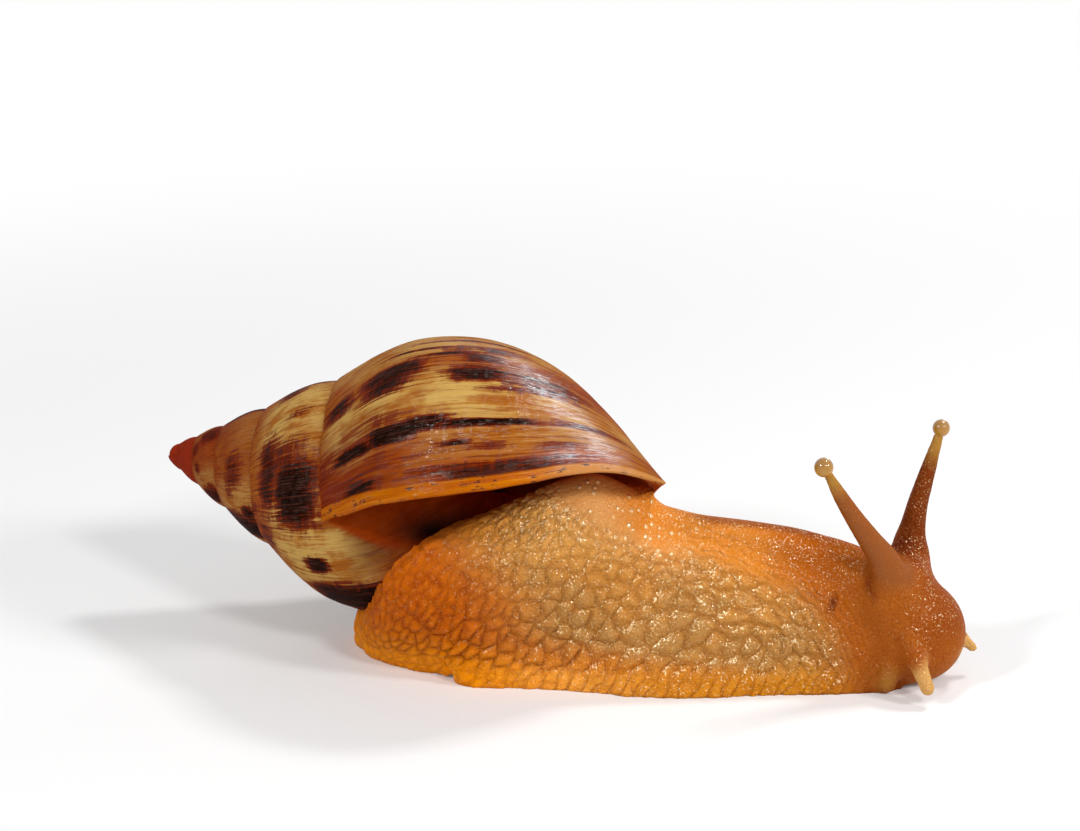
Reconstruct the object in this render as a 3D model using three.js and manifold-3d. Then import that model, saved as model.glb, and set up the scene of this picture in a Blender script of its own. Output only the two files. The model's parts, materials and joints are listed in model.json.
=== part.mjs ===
// Giant African land snail, extended and at rest on a flat surface. Millimetres, +Z up.
// The head points along +X, the animal's right side faces -Y, and the sole lies in the plane z = 0.
import * as THREE from 'three';
import { ParametricGeometry } from 'three/addons/geometries/ParametricGeometry.js';
import { mergeVertices } from 'three/addons/utils/BufferGeometryUtils.js';
import Module from 'manifold-3d';

const wasm = await Module();
wasm.setup();

// ---------------------------------------------------------------- driving dimensions
const GAP = 0.3; // clearance between neighbouring solids
const WHORL_GROWTH = 1.567; // how much the shell grows in one turn
const WHORL_TURNS = 5; // turns of the spire behind the body whorl
const SUTURE_DROP = 3.3; // how far the last suture slides down the whorl before it
const SPIRE_STRETCH = 6.0; // the spire is this much taller than a pure spiral would make it
const SPIRE_SLIMMING = 1.2; // and this much thinner towards the apex
const SHELL_WALL = 1.3;
const COLUMELLA_RADIUS = 3.0;
const COLUMELLA_LENGTH = 88;
const CORE_RADIUS = 0.8; // radius at which a whorl's section closes, inside the columella
const SPIRE_END = -175; // spiral angle in degrees where the spire passes into the body whorl
const TUCK_ANGLE = 12; // each half turn reaches this many degrees under the next
const TUCK_DEPTH = 0.1;
const SECTION_STEPS = 19; // points around one whorl's section
const OUTLINE_STEPS = 15; // those of them on its outside
const APEX_POSITION = new THREE.Vector3(-76.35, 17, 33.1);
const AXIS_YAW = -12.3; // degrees, the shell axis seen from above
const AXIS_DIP = 1.6; // degrees, the base of the shell lies lower than the apex
const AXIS_ROLL = -111.6; // degrees, turns the near side of the whorls to the right of the body
const TAIL_END = -37.5;
const NECK_END = 74;
const TAIL_CUT = -15; // where the trunk ends and the tail starts
const NECK_CUT = 37; // where the trunk ends and the neck starts
const HEAD_CUT = 62; // where the neck ends and the head starts
const HEAD_YAW = -33; // degrees, the head looks towards the right side

// Half of one whorl's outline at the top of the body whorl: distance along the axis, distance from it.
const WHORL_OUTLINE = new THREE.SplineCurve([
  new THREE.Vector2(33.5, 20.1),
  new THREE.Vector2(37.4, 23.0),
  new THREE.Vector2(42.6, 26.6),
  new THREE.Vector2(49.2, 29.9),
  new THREE.Vector2(57.0, 31.6),
  new THREE.Vector2(64.9, 31.8),
  new THREE.Vector2(73.7, 30.0),
  new THREE.Vector2(82.6, 25.8),
  new THREE.Vector2(91.5, 19.3),
  new THREE.Vector2(100.3, 10.8),
  new THREE.Vector2(105.0, 6.4),
  new THREE.Vector2(107.5, 3.2),
]);

// The outer lip: spiral angle in degrees against the position on the outline, suture to base.
const LIP_SHAPE = [
  [0, 20],
  [0.08, 14.5],
  [0.15, 11],
  [0.25, 4.8],
  [0.36, 0],
  [0.44, -3],
  [0.52, -6.8],
  [0.59, -12],
  [0.66, -20],
  [0.72, -28.5],
  [0.76, -35],
  [0.79, -43],
  [0.815, -52],
  [0.83, -63],
  [0.85, -84],
  [0.88, -118],
  [0.93, -145],
  [1, -160],
];

// The body along X: [x, y of the sole's middle, half width of the sole, height, y of the ridge, bulge].
const BODY_STATIONS = [
  [-37.5, 4.5, 2.5, 7, 2, 0.1],
  [-35.5, 3.5, 5.5, 13, -5, 0.35],
  [-32.5, 3, 8.0, 19.5, -12.5, 0.5],
  [-29, 2.5, 9.5, 24.5, -15.3, 0.55],
  [-24, 2, 11.2, 28.6, -15.3, 0.5],
  [-18, 2, 13.5, 31, -14, 0.35],
  [-13.5, 2, 17.0, 32.8, -12.5, 0.15],
  [-5, 2, 17.9, 36, -10.5, 0.1],
  [3, 2, 17.2, 40.5, -10, 0.1],
  [11, 2, 17.4, 42.6, -7.5, 0.05],
  [17, 2, 18.6, 39, -4.5, 0],
  [23, 2, 18.8, 33.7, -1, 0],
  [31, 2, 17.9, 31.0, 1, 0],
  [40, 1.8, 16.4, 30.2, 1.5, 0],
  [50, 1.2, 13.8, 29.2, 1.5, 0],
  [60, 0.2, 11.0, 27.2, 0.8, 0],
  [67, -0.6, 9.0, 25, 0, 0],
  [74, -1, 5.0, 20, -1, 0],
];

// ---------------------------------------------------------------- solids
function toSolid(geometry) {
  const bare = geometry.index ? geometry.clone() : mergeVertices(geometry);
  bare.deleteAttribute('normal');
  bare.deleteAttribute('uv');
  const merged = mergeVertices(bare, 1e-4);
  const vertProperties = Float32Array.from(merged.attributes.position.array);
  const triVerts = Uint32Array.from(merged.index.array);
  const body = new wasm.Manifold(new wasm.Mesh({ numProp: 3, vertProperties, triVerts }));
  if (body.volume() > 0) {
    return body;
  }
  for (let i = 0; i < triVerts.length; i += 3) {
    [triVerts[i], triVerts[i + 1]] = [triVerts[i + 1], triVerts[i]];
  }
  return new wasm.Manifold(new wasm.Mesh({ numProp: 3, vertProperties, triVerts }));
}

function toGeometry(body) {
  const mesh = body.getMesh();
  const geometry = new THREE.BufferGeometry();
  geometry.setAttribute('position', new THREE.BufferAttribute(mesh.vertProperties, 3));
  geometry.setIndex(new THREE.BufferAttribute(mesh.triVerts, 1));
  geometry.computeVertexNormals();
  return geometry;
}

// A closed body swept through sections: section(v, u) gives a point on the ring number v.
// The first and last rings close on their own middles.
function sweep(section, around, along) {
  const middle = (v) => {
    const sum = new THREE.Vector3();
    for (let k = 0; k < around; k += 1) {
      sum.add(section(v, k / around));
    }
    return sum.divideScalar(around);
  };
  const ends = [middle(0), middle(1)];
  const stacks = along + 2;
  const surface = (u, v, target) => {
    const ring = Math.round(v * stacks);
    if (ring === 0) {
      target.copy(ends[0]);
    } else if (ring === stacks) {
      target.copy(ends[1]);
    } else {
      target.copy(section((ring - 1) / along, (Math.round(u * around) % around) / around));
    }
  };
  return toSolid(new ParametricGeometry(surface, around, stacks));
}

function lerpTable(table, x, column) {
  const last = table.length - 1;
  let i = 0;
  while (i < last - 1 && table[i + 1][0] < x) {
    i += 1;
  }
  const t = THREE.MathUtils.clamp((x - table[i][0]) / (table[i + 1][0] - table[i][0]), 0, 1);
  return THREE.MathUtils.lerp(table[i][column], table[i + 1][column], t);
}

// ---------------------------------------------------------------- shell
// A point of the whorl surface in the shell's own frame: apex at the origin, base along +Z.
// s runs from the suture to the base, angle is the spiral angle, offset moves along the outline's normal.
function whorlPoint(s, angle, offset) {
  const scale = WHORL_GROWTH ** ((angle + 90) / 360);
  const p = WHORL_OUTLINE.getPoint(s);
  const d = WHORL_OUTLINE.getTangent(s);
  const over = Math.max(0, (angle + 90) / 111);
  const spire = Math.max(0, 1 - scale);
  const z = (p.x + SUTURE_DROP * over * (1 - s) ** 2) * scale - SPIRE_STRETCH * spire - d.y * offset;
  const r = Math.max(0.4, p.y * scale - SPIRE_SLIMMING * spire + d.x * offset);
  const a = THREE.MathUtils.degToRad(angle);
  return new THREE.Vector3(r * Math.cos(a), r * Math.sin(a), z);
}

const lipAngle = (s) => lerpTable(LIP_SHAPE, s, 1);

// Where a section closes near the axis: t runs from the base back up to the suture.
function innerPoint(radius, angle, inset, offset, t) {
  const a = THREE.MathUtils.degToRad(angle);
  const base = whorlPoint(1, angle, offset).z;
  const top = whorlPoint(inset, angle, offset).z;
  return new THREE.Vector3(radius * Math.cos(a), radius * Math.sin(a), THREE.MathUtils.lerp(base, top, t));
}

const coreRadius = (angle) => CORE_RADIUS * WHORL_GROWTH ** ((angle + 90) / 360);

// Half a turn of the spiral, closed near the axis. Its last stretch tucks in under the part that follows.
function whorlSolid(from, to, offset, along) {
  const section = (v, u) => {
    const k = Math.round(u * SECTION_STEPS);
    const angle = THREE.MathUtils.lerp(from, to + TUCK_ANGLE, v);
    const tuck = Math.max(0, (angle - to) / TUCK_ANGLE + 1) * TUCK_DEPTH;
    if (k < OUTLINE_STEPS) {
      return whorlPoint(k / (OUTLINE_STEPS - 1), angle, offset - tuck);
    }
    const t = (k - OUTLINE_STEPS) / (SECTION_STEPS - OUTLINE_STEPS - 1);
    return innerPoint(coreRadius(angle) + tuck / 2, angle, 0, offset - tuck, t);
  };
  return sweep(section, SECTION_STEPS, along);
}

// The last part of the body whorl, from a flat section to one shaped like the lip. With a columella
// radius it is the hollow of the whorl, which starts just under the suture.
function lipSolid(from, beyond, offset, columella, along) {
  const inset = columella > 0 ? 0.03 : 0;
  const section = (v, u) => {
    const k = Math.round(u * SECTION_STEPS);
    if (k < OUTLINE_STEPS) {
      const s = THREE.MathUtils.lerp(inset, 1, k / (OUTLINE_STEPS - 1));
      return whorlPoint(s, THREE.MathUtils.lerp(from, lipAngle(s) + beyond, v), offset);
    }
    const t = (k - OUTLINE_STEPS) / (SECTION_STEPS - OUTLINE_STEPS - 1);
    const end = THREE.MathUtils.lerp(lipAngle(1), lipAngle(0), t) + beyond;
    const angle = THREE.MathUtils.lerp(from, end, v);
    return innerPoint(columella || coreRadius(angle), angle, inset, offset, t);
  };
  return sweep(section, SECTION_STEPS, along);
}

// The pillar on the shell's axis, which every whorl leans on.
function columellaSolid(grow) {
  const geometry = new THREE.LatheGeometry([
    new THREE.Vector2(0, -1),
    new THREE.Vector2(0.25, -1),
    new THREE.Vector2(COLUMELLA_RADIUS + grow, COLUMELLA_LENGTH),
    new THREE.Vector2(0, COLUMELLA_LENGTH + grow),
  ], 12);
  geometry.rotateX(Math.PI / 2);
  return toSolid(geometry);
}

// grow = 0 gives the shell, a small positive value gives the room it needs inside the flesh.
function shellSolid(grow) {
  const bodyWhorl = lipSolid(SPIRE_END, THREE.MathUtils.radToDeg(grow / 25), grow, 0, 12);
  const hollow = lipSolid(SPIRE_END + TUCK_ANGLE + 4, 25, -SHELL_WALL - grow, COLUMELLA_RADIUS + grow, 9);
  let shell = bodyWhorl.subtract(hollow).add(columellaSolid(grow));
  for (let half = 0; half < WHORL_TURNS * 2 - 1; half += 1) {
    const to = SPIRE_END - half * 180;
    shell = shell.add(whorlSolid(to - 180, to, grow, Math.max(7, 12 - half)));
  }
  const nucleus = new THREE.SphereGeometry(2.4 + grow, 12, 8);
  nucleus.translate(0, 0, 0.9);
  shell = shell.add(toSolid(nucleus));
  const geometry = toGeometry(shell);
  geometry.rotateZ(THREE.MathUtils.degToRad(AXIS_ROLL));
  geometry.rotateY(THREE.MathUtils.degToRad(90 + AXIS_DIP));
  geometry.rotateZ(THREE.MathUtils.degToRad(AXIS_YAW));
  geometry.translate(APEX_POSITION.x, APEX_POSITION.y, APEX_POSITION.z);
  return toSolid(geometry);
}

// ---------------------------------------------------------------- flesh
// Foot, trunk and neck: a flat sole under a rounded back that leans towards the ridge.
function bodySolid() {
  const around = 24;
  const soleSteps = 4;
  const section = (v, u) => {
    const k = Math.round(u * around);
    const x = THREE.MathUtils.lerp(TAIL_END, NECK_END, v);
    const middle = lerpTable(BODY_STATIONS, x, 1);
    const half = lerpTable(BODY_STATIONS, x, 2);
    const height = lerpTable(BODY_STATIONS, x, 3);
    const ridge = lerpTable(BODY_STATIONS, x, 4);
    const bulge = lerpTable(BODY_STATIONS, x, 5);
    const domeSteps = around - soleSteps;
    if (k > domeSteps) {
      return new THREE.Vector3(x, middle + half * (1 - 2 * ((k - domeSteps) / soleSteps)), -0.5);
    }
    const t = (Math.PI * k) / domeSteps;
    const rise = Math.sin(t) ** 0.91;
    const side = -Math.sign(Math.cos(t)) * Math.abs(Math.cos(t)) ** 1.25;
    const spread = 1 + bulge * Math.sin(Math.PI * rise);
    const foot = 1 + 0.05 * Math.exp(-rise * height / 3);
    const lean = (ridge - middle) * rise ** 1.5;
    return new THREE.Vector3(x, middle + lean + half * side * spread * foot, height * rise - 0.5 * (1 - rise));
  };
  return sweep(section, around, 32);
}

function blob(centre, radii, yaw, pitch, detail) {
  const geometry = new THREE.SphereGeometry(1, detail, Math.round(detail * 0.6));
  geometry.scale(radii.x, radii.y, radii.z);
  geometry.rotateY(THREE.MathUtils.degToRad(pitch));
  geometry.rotateZ(THREE.MathUtils.degToRad(yaw));
  geometry.translate(centre.x, centre.y, centre.z);
  return toSolid(geometry);
}

// A tapered tube along a curve through points, each with its radius, rounded off at the far end.
function tentacle(points, radii, around, along) {
  const curve = new THREE.CatmullRomCurve3(points);
  const table = radii.map((r, i) => [i / (radii.length - 1), r]);
  const section = (v, u) => {
    const centre = curve.getPoint(v);
    const way = curve.getTangent(v);
    const side = new THREE.Vector3(0, 1, 0).cross(way).normalize();
    const up = way.clone().cross(side);
    const a = 2 * Math.PI * u;
    const r = lerpTable(table, v, 1);
    return centre.addScaledVector(side, r * Math.cos(a)).addScaledVector(up, r * Math.sin(a));
  };
  return sweep(section, around, along);
}

// A thin disc across a limb: cutting with it leaves the usual gap between two parts.
function disc(centre, way, radius) {
  const geometry = new THREE.CylinderGeometry(radius, radius, GAP, 20);
  const turn = new THREE.Quaternion().setFromUnitVectors(new THREE.Vector3(0, 1, 0), way.clone().normalize());
  geometry.applyQuaternion(turn);
  geometry.translate(centre.x, centre.y, centre.z);
  return toSolid(geometry);
}

const V = (x, y, z) => new THREE.Vector3(x, y, z);

const stalkRight = [
  V(70.3, -5.0, 18), V(68.6, -6.0, 23), V(67.2, -6.5, 26.8), V(65.2, -7.5, 30.2), V(61.6, -9, 35.9),
  V(58.6, -10.5, 41.2), V(56.8, -11.5, 44.8), V(55.7, -12, 46.9),
];
const stalkLeft = [
  V(72.6, 3.5, 18), V(72.6, 4.4, 22.5), V(72.4, 5, 26), V(72.8, 5.5, 29.1), V(73.6, 6.5, 33.7),
  V(75.1, 7.5, 39.6), V(76.7, 8.6, 45.6), V(77.3, 9, 48),
];
const feelerRight = [V(72.2, -8.0, 13.8), V(73.2, -10.6, 11.2), V(75.1, -13.2, 7.4), V(76.8, -14.5, 3.7)];
const feelerLeft = [V(79.5, 0.5, 10.5), V(82.6, 1.2, 8.3), V(84.2, 1.5, 6.9), V(85.5, 1.8, 5.5)];
const EYE_RIGHT = { centre: V(55.45, -12.1, 47.3), radius: 1.9 };
const EYE_LEFT = { centre: V(77.45, 9.1, 48.5), radius: 1.75 };
const LOBE_RIGHT = V(69.1, -10.2, 3.5); // soft lobe beside the mouth
const LOBE_LEFT = V(80.3, 4.8, 3.5);

function fleshSolid() {
  let flesh = bodySolid();
  flesh = flesh.add(blob(V(73.2, -1.4, 10.3), V(11.0, 10.2, 10.4), HEAD_YAW, 12, 20));
  flesh = flesh.add(blob(V(69.3, -1.0, 16.8), V(8.8, 9.3, 9.1), HEAD_YAW, 20, 17));
  flesh = flesh.add(tentacle(stalkRight, [4.8, 3.9, 3.1, 2.45, 1.9, 1.5, 0.95, 0.95], 10, 10));
  flesh = flesh.add(tentacle(stalkLeft, [4.6, 4.0, 3.4, 2.6, 2.1, 1.7, 1.0, 1.0], 10, 10));
  flesh = flesh.add(tentacle(feelerRight, [2.6, 2.4, 1.75, 1.45], 9, 5));
  flesh = flesh.add(tentacle(feelerLeft, [2.0, 1.6, 1.2, 1.05], 9, 5));
  flesh = flesh.add(blob(feelerRight[3], V(1.6, 1.6, 1.6), 0, 0, 10));
  flesh = flesh.add(blob(feelerLeft[3], V(1.15, 1.15, 1.15), 0, 0, 10));
  flesh = flesh.add(blob(EYE_RIGHT.centre, V(1, 1, 1).multiplyScalar(EYE_RIGHT.radius), 0, 0, 12));
  flesh = flesh.add(blob(EYE_LEFT.centre, V(1, 1, 1).multiplyScalar(EYE_LEFT.radius), 0, 0, 12));
  flesh = flesh.add(blob(LOBE_RIGHT, V(2.1, 1.8, 3.2), HEAD_YAW, 0, 8));
  flesh = flesh.add(blob(LOBE_LEFT, V(2.1, 1.8, 3.2), HEAD_YAW, 0, 8));
  const floor = new THREE.BoxGeometry(300, 200, 40);
  floor.translate(0, 0, -20);
  return flesh.subtract(toSolid(floor));
}

function wall(x, yaw, height) {
  const geometry = new THREE.BoxGeometry(GAP, 120, height);
  geometry.rotateZ(THREE.MathUtils.degToRad(yaw));
  geometry.translate(x, 0, height / 2 - 1);
  return toSolid(geometry);
}

const shell = shellSolid(0);
let flesh = fleshSolid().subtract(shellSolid(GAP));
flesh = flesh.subtract(wall(TAIL_CUT, 0, 80));
flesh = flesh.subtract(wall(NECK_CUT, 0, 80));
flesh = flesh.subtract(wall(HEAD_CUT, HEAD_YAW * 0.4, 30));
flesh = flesh.subtract(disc(stalkRight[2], stalkRight[3].clone().sub(stalkRight[1]), 4.6));
flesh = flesh.subtract(disc(stalkLeft[2], stalkLeft[3].clone().sub(stalkLeft[1]), 4.6));
flesh = flesh.subtract(disc(V(56.3, -11.7, 45.7), stalkRight[7].clone().sub(stalkRight[6]), 3));
flesh = flesh.subtract(disc(V(77.0, 8.8, 46.9), stalkLeft[7].clone().sub(stalkLeft[6]), 3));
flesh = flesh.subtract(disc(feelerRight[2], feelerRight[3].clone().sub(feelerRight[1]), 2.7));
flesh = flesh.subtract(disc(feelerLeft[2], feelerLeft[3].clone().sub(feelerLeft[2]), 2.4));

// ---------------------------------------------------------------- scene graph
const snail = new THREE.Group();

function addPart(name, body, colour, roughness) {
  const material = new THREE.MeshStandardMaterial({ color: colour, roughness, metalness: 0 });
  const mesh = new THREE.Mesh(toGeometry(body), material);
  mesh.name = name;
  snail.add(mesh);
}

// Each part of the flesh is the piece that lies nearest to its anchor.
const FLESH_PARTS = [
  ['tail', V(-25, 0, 12), 0xb4641e],
  ['trunk', V(11, 0, 20), 0xb4873c],
  ['neck', V(50, 0, 15), 0xc87828],
  ['head', V(72, -1, 13), 0xa5551e],
  ['stalk_right', V(61, -9, 37), 0xa56e32],
  ['stalk_left', V(75, 7, 37), 0x783719],
  ['eye_right', EYE_RIGHT.centre, 0xc8aa64],
  ['eye_left', EYE_LEFT.centre, 0xc8aa64],
  ['feeler_right', V(75.4, -12.2, 6), 0xc87832],
  ['feeler_left', V(85, 1.7, 6), 0xc8a050],
];

const pieces = flesh.decompose().filter((piece) => piece.volume() > 1);
const middleOf = (body) => {
  const box = body.boundingBox();
  return new THREE.Vector3(...box.min).add(new THREE.Vector3(...box.max)).multiplyScalar(0.5);
};
for (const [name, anchor, colour] of FLESH_PARTS) {
  const distance = (piece) => middleOf(piece).distanceTo(anchor);
  const nearest = pieces.reduce((best, piece) => (distance(piece) < distance(best) ? piece : best));
  addPart(name, nearest, colour, 0.4);
}
addPart('shell', shell, 0xb4783c, 0.3);

export default snail;
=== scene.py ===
# Giant African land snail: the looks of the still, life-size model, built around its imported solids.
import json
import math
import bmesh
import bpy
import numpy as np
from mathutils import Matrix, Vector
from mathutils.bvhtree import BVHTree


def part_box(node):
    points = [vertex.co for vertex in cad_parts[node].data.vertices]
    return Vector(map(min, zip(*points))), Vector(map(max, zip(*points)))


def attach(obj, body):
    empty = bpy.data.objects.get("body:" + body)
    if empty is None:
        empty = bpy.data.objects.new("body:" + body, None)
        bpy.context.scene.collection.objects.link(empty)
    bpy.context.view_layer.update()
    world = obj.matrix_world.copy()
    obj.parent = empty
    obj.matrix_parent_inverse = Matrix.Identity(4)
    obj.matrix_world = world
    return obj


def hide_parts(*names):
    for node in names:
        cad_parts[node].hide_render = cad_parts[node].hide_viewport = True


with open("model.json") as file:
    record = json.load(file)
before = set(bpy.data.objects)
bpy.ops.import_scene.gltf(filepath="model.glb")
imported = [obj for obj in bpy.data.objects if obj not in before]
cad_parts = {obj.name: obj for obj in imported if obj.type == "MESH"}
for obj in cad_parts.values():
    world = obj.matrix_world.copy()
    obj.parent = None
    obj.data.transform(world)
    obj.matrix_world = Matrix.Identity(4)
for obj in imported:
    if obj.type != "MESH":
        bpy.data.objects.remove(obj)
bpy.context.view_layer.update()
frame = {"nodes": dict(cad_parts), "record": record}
MM = 0.001

# ---------------------------------------------------------------- camera
# A long lens on the animal's right side. It looks down a little, and stands a few degrees towards the
# head from straight abeam.
VIEW_TURN = math.radians(7.0)
VIEW_DIP = math.radians(20.0)
VIEW_DISTANCE = 600 * MM
AIM_HEIGHT = 45.9 * MM
LENS_LENGTH = 100.0
LENS_RISE = 0.00926

across = Vector((math.cos(VIEW_TURN), math.sin(VIEW_TURN), 0.0))
backward = Vector((
    math.sin(VIEW_TURN) * math.cos(VIEW_DIP),
    -math.cos(VIEW_TURN) * math.cos(VIEW_DIP),
    math.sin(VIEW_DIP),
))
upward = backward.cross(across)
sole = Vector(frame["record"]["mounts"][0]["pos_m"])
lens = bpy.data.cameras.new("camera")
lens.lens = LENS_LENGTH
lens.sensor_width = 36.0
lens.shift_y = LENS_RISE
lens.clip_end = 20.0
camera = bpy.data.objects.new("camera", lens)
turn = Matrix((across, upward, backward)).transposed().to_4x4()
camera.matrix_world = Matrix.Translation(sole + upward * AIM_HEIGHT + backward * VIEW_DISTANCE) @ turn
bpy.context.scene.collection.objects.link(camera)
bpy.context.scene.camera = camera
bpy.context.scene.view_settings.view_transform = "Standard"


# ---------------------------------------------------------------- floor and light
# A pale floor that keeps the animal's soft shadow and fades into a white room. Four small square lamps
# stand high around the animal, and a fifth one, lower on its far side, lights the edges.
FLOOR_SIZE = 6.0
FLOOR_DROP = 0.02 * MM
NEAR_GLOW = 0.08
GLOW_START = 130 * MM
GLOW_FULL = 400 * MM
ROOM_LIGHT = 0.30
LAMP_DISTANCE = 0.90


class Wire:
    """One socket of a material. Arithmetic on it adds a Math node."""

    def __init__(self, tree, socket):
        self.tree = tree
        self.socket = socket

    def math(self, operation, *others):
        node = self.tree.nodes.new("ShaderNodeMath")
        node.operation = operation
        for slot, value in zip(node.inputs, (self,) + others):
            join(self.tree, slot, value)
        return Wire(self.tree, node.outputs[0])

    def __add__(self, other):
        return self.math("ADD", other)

    def __radd__(self, other):
        return self.math("ADD", other)

    def __mul__(self, other):
        return self.math("MULTIPLY", other)

    def __rmul__(self, other):
        return self.math("MULTIPLY", other)

    def __sub__(self, other):
        return self.math("SUBTRACT", other)

    def __rsub__(self, other):
        return self.math("MULTIPLY", -1.0).math("ADD", other)

    def __truediv__(self, other):
        return self.math("DIVIDE", other)

    def __pow__(self, other):
        return self.math("POWER", other)

    def clamp(self):
        return self.math("MAXIMUM", 0.0).math("MINIMUM", 1.0)


def join(tree, slot, value):
    if isinstance(value, Wire):
        tree.links.new(value.socket, slot)
    else:
        slot.default_value = value


def rgb(red, green, blue):
    """A colour as seen on a screen, 0 to 255, in the linear values that a shader takes."""
    levels = [part / 255 for part in (red, green, blue)]
    linear = [part / 12.92 if part <= 0.04045 else ((part + 0.055) / 1.055) ** 2.4 for part in levels]
    return (*linear, 1.0)


class Finish:
    """A material and the one way in which its nodes are made."""

    def __init__(self, name):
        self.material = bpy.data.materials.new(name)
        self.material.use_nodes = True
        self.tree = self.material.node_tree
        self.tree.nodes.clear()

    def node(self, kind, settings, sockets, output=0):
        made = self.tree.nodes.new("ShaderNode" + kind)
        for name, value in settings.items():
            setattr(made, name, value)
        for name, value in sockets.items():
            join(self.tree, made.inputs[name], value)
        return Wire(self.tree, made.outputs[output])

    def mix(self, factor, first, second):
        return self.node("Mix", {"data_type": "RGBA"}, {0: factor, 6: first, 7: second}, 2)

    def ramp(self, value, low, high):
        """0 below low, 1 above high, smooth between them."""
        sockets = {"Value": value, "From Min": low, "From Max": high}
        return self.node("MapRange", {"interpolation_type": "SMOOTHSTEP"}, sockets)

    def fade(self, value, low, high, first, second):
        """The first colour where the value is below low, the second one where it is above high."""
        return self.mix(self.ramp(value, low, high), first, second)

    def coats(self, colour, layers):
        """A colour under coats that lie one over the other: each is where it lies, and its own colour."""
        for where_laid, coat in layers:
            colour = self.mix(where_laid, colour, coat)
        return colour

    def finish(self, surface):
        output = self.tree.nodes.new("ShaderNodeOutputMaterial")
        self.tree.links.new(surface.socket, output.inputs["Surface"])
        return self.material


floor_mesh = bpy.data.meshes.new("floor")
grid = bmesh.new()
bmesh.ops.create_grid(grid, x_segments=1, y_segments=1, size=FLOOR_SIZE)
bmesh.ops.translate(grid, verts=grid.verts, vec=(0.0, 0.0, -FLOOR_DROP))
grid.to_mesh(floor_mesh)
grid.free()
floor = bpy.data.objects.new("floor", floor_mesh)
bpy.context.scene.collection.objects.link(floor)
paper = Finish("floor_paper")
seen = paper.node("LightPath", {}, {}, "Is Camera Ray")
glossy = Wire(paper.tree, seen.socket.node.outputs["Is Glossy Ray"])
clear_ray = Wire(paper.tree, seen.socket.node.outputs["Is Transmission Ray"])
white = paper.node("Emission", {}, {"Color": (1.0, 1.0, 1.0, 1.0), "Strength": 1.0})
matte = paper.node("BsdfDiffuse", {}, {"Color": (0.86, 0.86, 0.86, 1.0)})
spot = paper.node("TexCoord", {}, {}, "Object")
away = paper.node("VectorMath", {"operation": "LENGTH"}, {0: spot}, "Value")

# To the camera the floor is partly plain white light, and more so farther out, so its edge is lost.
washed = paper.ramp(away, GLOW_START, GLOW_FULL) * (1 - NEAR_GLOW) + NEAR_GLOW
glow = (seen + glossy + clear_ray).clamp() * washed
floor_mesh.materials.append(paper.finish(paper.node("MixShader", {}, {0: glow, 1: matte, 2: white})))

world = bpy.data.worlds.new("studio")
world.use_nodes = True
bpy.context.scene.world = world
sky = world.node_tree
backdrop = sky.nodes["Background"]
ray = sky.nodes.new("ShaderNodeLightPath")
shown = Wire(sky, ray.outputs["Is Camera Ray"]) + Wire(sky, ray.outputs["Is Transmission Ray"])
shown = (shown + Wire(sky, ray.outputs["Is Glossy Ray"])).clamp()
backdrop.inputs["Color"].default_value = (1.0, 1.0, 1.0, 1.0)
join(sky, backdrop.inputs["Strength"], shown * (1 - ROOM_LIGHT) + ROOM_LIGHT)

# Each lamp: its name, the way to it from the animal, its side in metres and its power in watts.
LAMPS = [
    ("lamp_back", (0.400, 0.300, 0.866), 0.13, 2.5),
    ("lamp_side", (0.790, -0.280, 0.540), 0.13, 2.8),
    ("lamp_front", (0.480, -0.600, 0.643), 0.13, 2.4),
    ("lamp_left", (-0.540, -0.560, 0.630), 0.13, 2.9),
    ("lamp_shoulder", (0.32, 0.86, 0.40), 0.20, 0.7),
]
for name, direction, size, power in LAMPS:
    light = bpy.data.lights.new(name, "AREA")
    light.shape = "SQUARE"
    light.size = size
    light.energy = power
    lamp = bpy.data.objects.new(name, light)
    lamp.location = Vector(direction).normalized() * LAMP_DISTANCE
    lamp.rotation_euler = Vector(direction).to_track_quat("Z", "Y").to_euler()
    bpy.context.scene.collection.objects.link(lamp)


# ---------------------------------------------------------------- shell
# A right-coiled cone of lime under a thin horny skin, grown at its outer lip line by line and held from
# within. Two rolled sheets make it: the spire, and the last whorl with the lip's rounded edge and the
# lining behind it. A ball closes the tip, and a thin cone stands in the axis.
WHORL_GROWTH = 1.567
SUTURE_DROP = 3.3
SPIRE_STRETCH = 6.0
SPIRE_SLIMMING = 1.2
SUTURE_SPAN = 111
LEAST_RADIUS = 0.4
LIP_WALL = 1.0
AXIS_YAW = -12.3
AXIS_DIP = 1.6
AXIS_ROLL = -111.6

# The last whorl's outline at one angle, suture to base: distance along the axis, distance from it.
OUTLINE_ANGLE = -90
WHORL_OUTLINE = np.array([
    (33.5, 20.1), (37.4, 23.0), (42.6, 26.6), (49.2, 29.9), (57.0, 31.6), (64.9, 31.8),
    (73.7, 30.0), (82.6, 25.8), (91.5, 19.3), (100.3, 10.8), (105.0, 6.4), (107.5, 3.2),
])

# The outer lip: spiral angle in degrees against the place on the outline, suture to base.
LIP_SHAPE = np.array([
    (0, 20), (0.08, 14.5), (0.15, 11), (0.25, 4.8), (0.36, 0), (0.44, -3), (0.52, -6.8), (0.59, -12),
    (0.66, -20), (0.72, -28.5), (0.76, -35), (0.79, -43), (0.815, -52), (0.83, -63), (0.85, -84),
    (0.88, -118), (0.93, -145), (1, -160),
])


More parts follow.
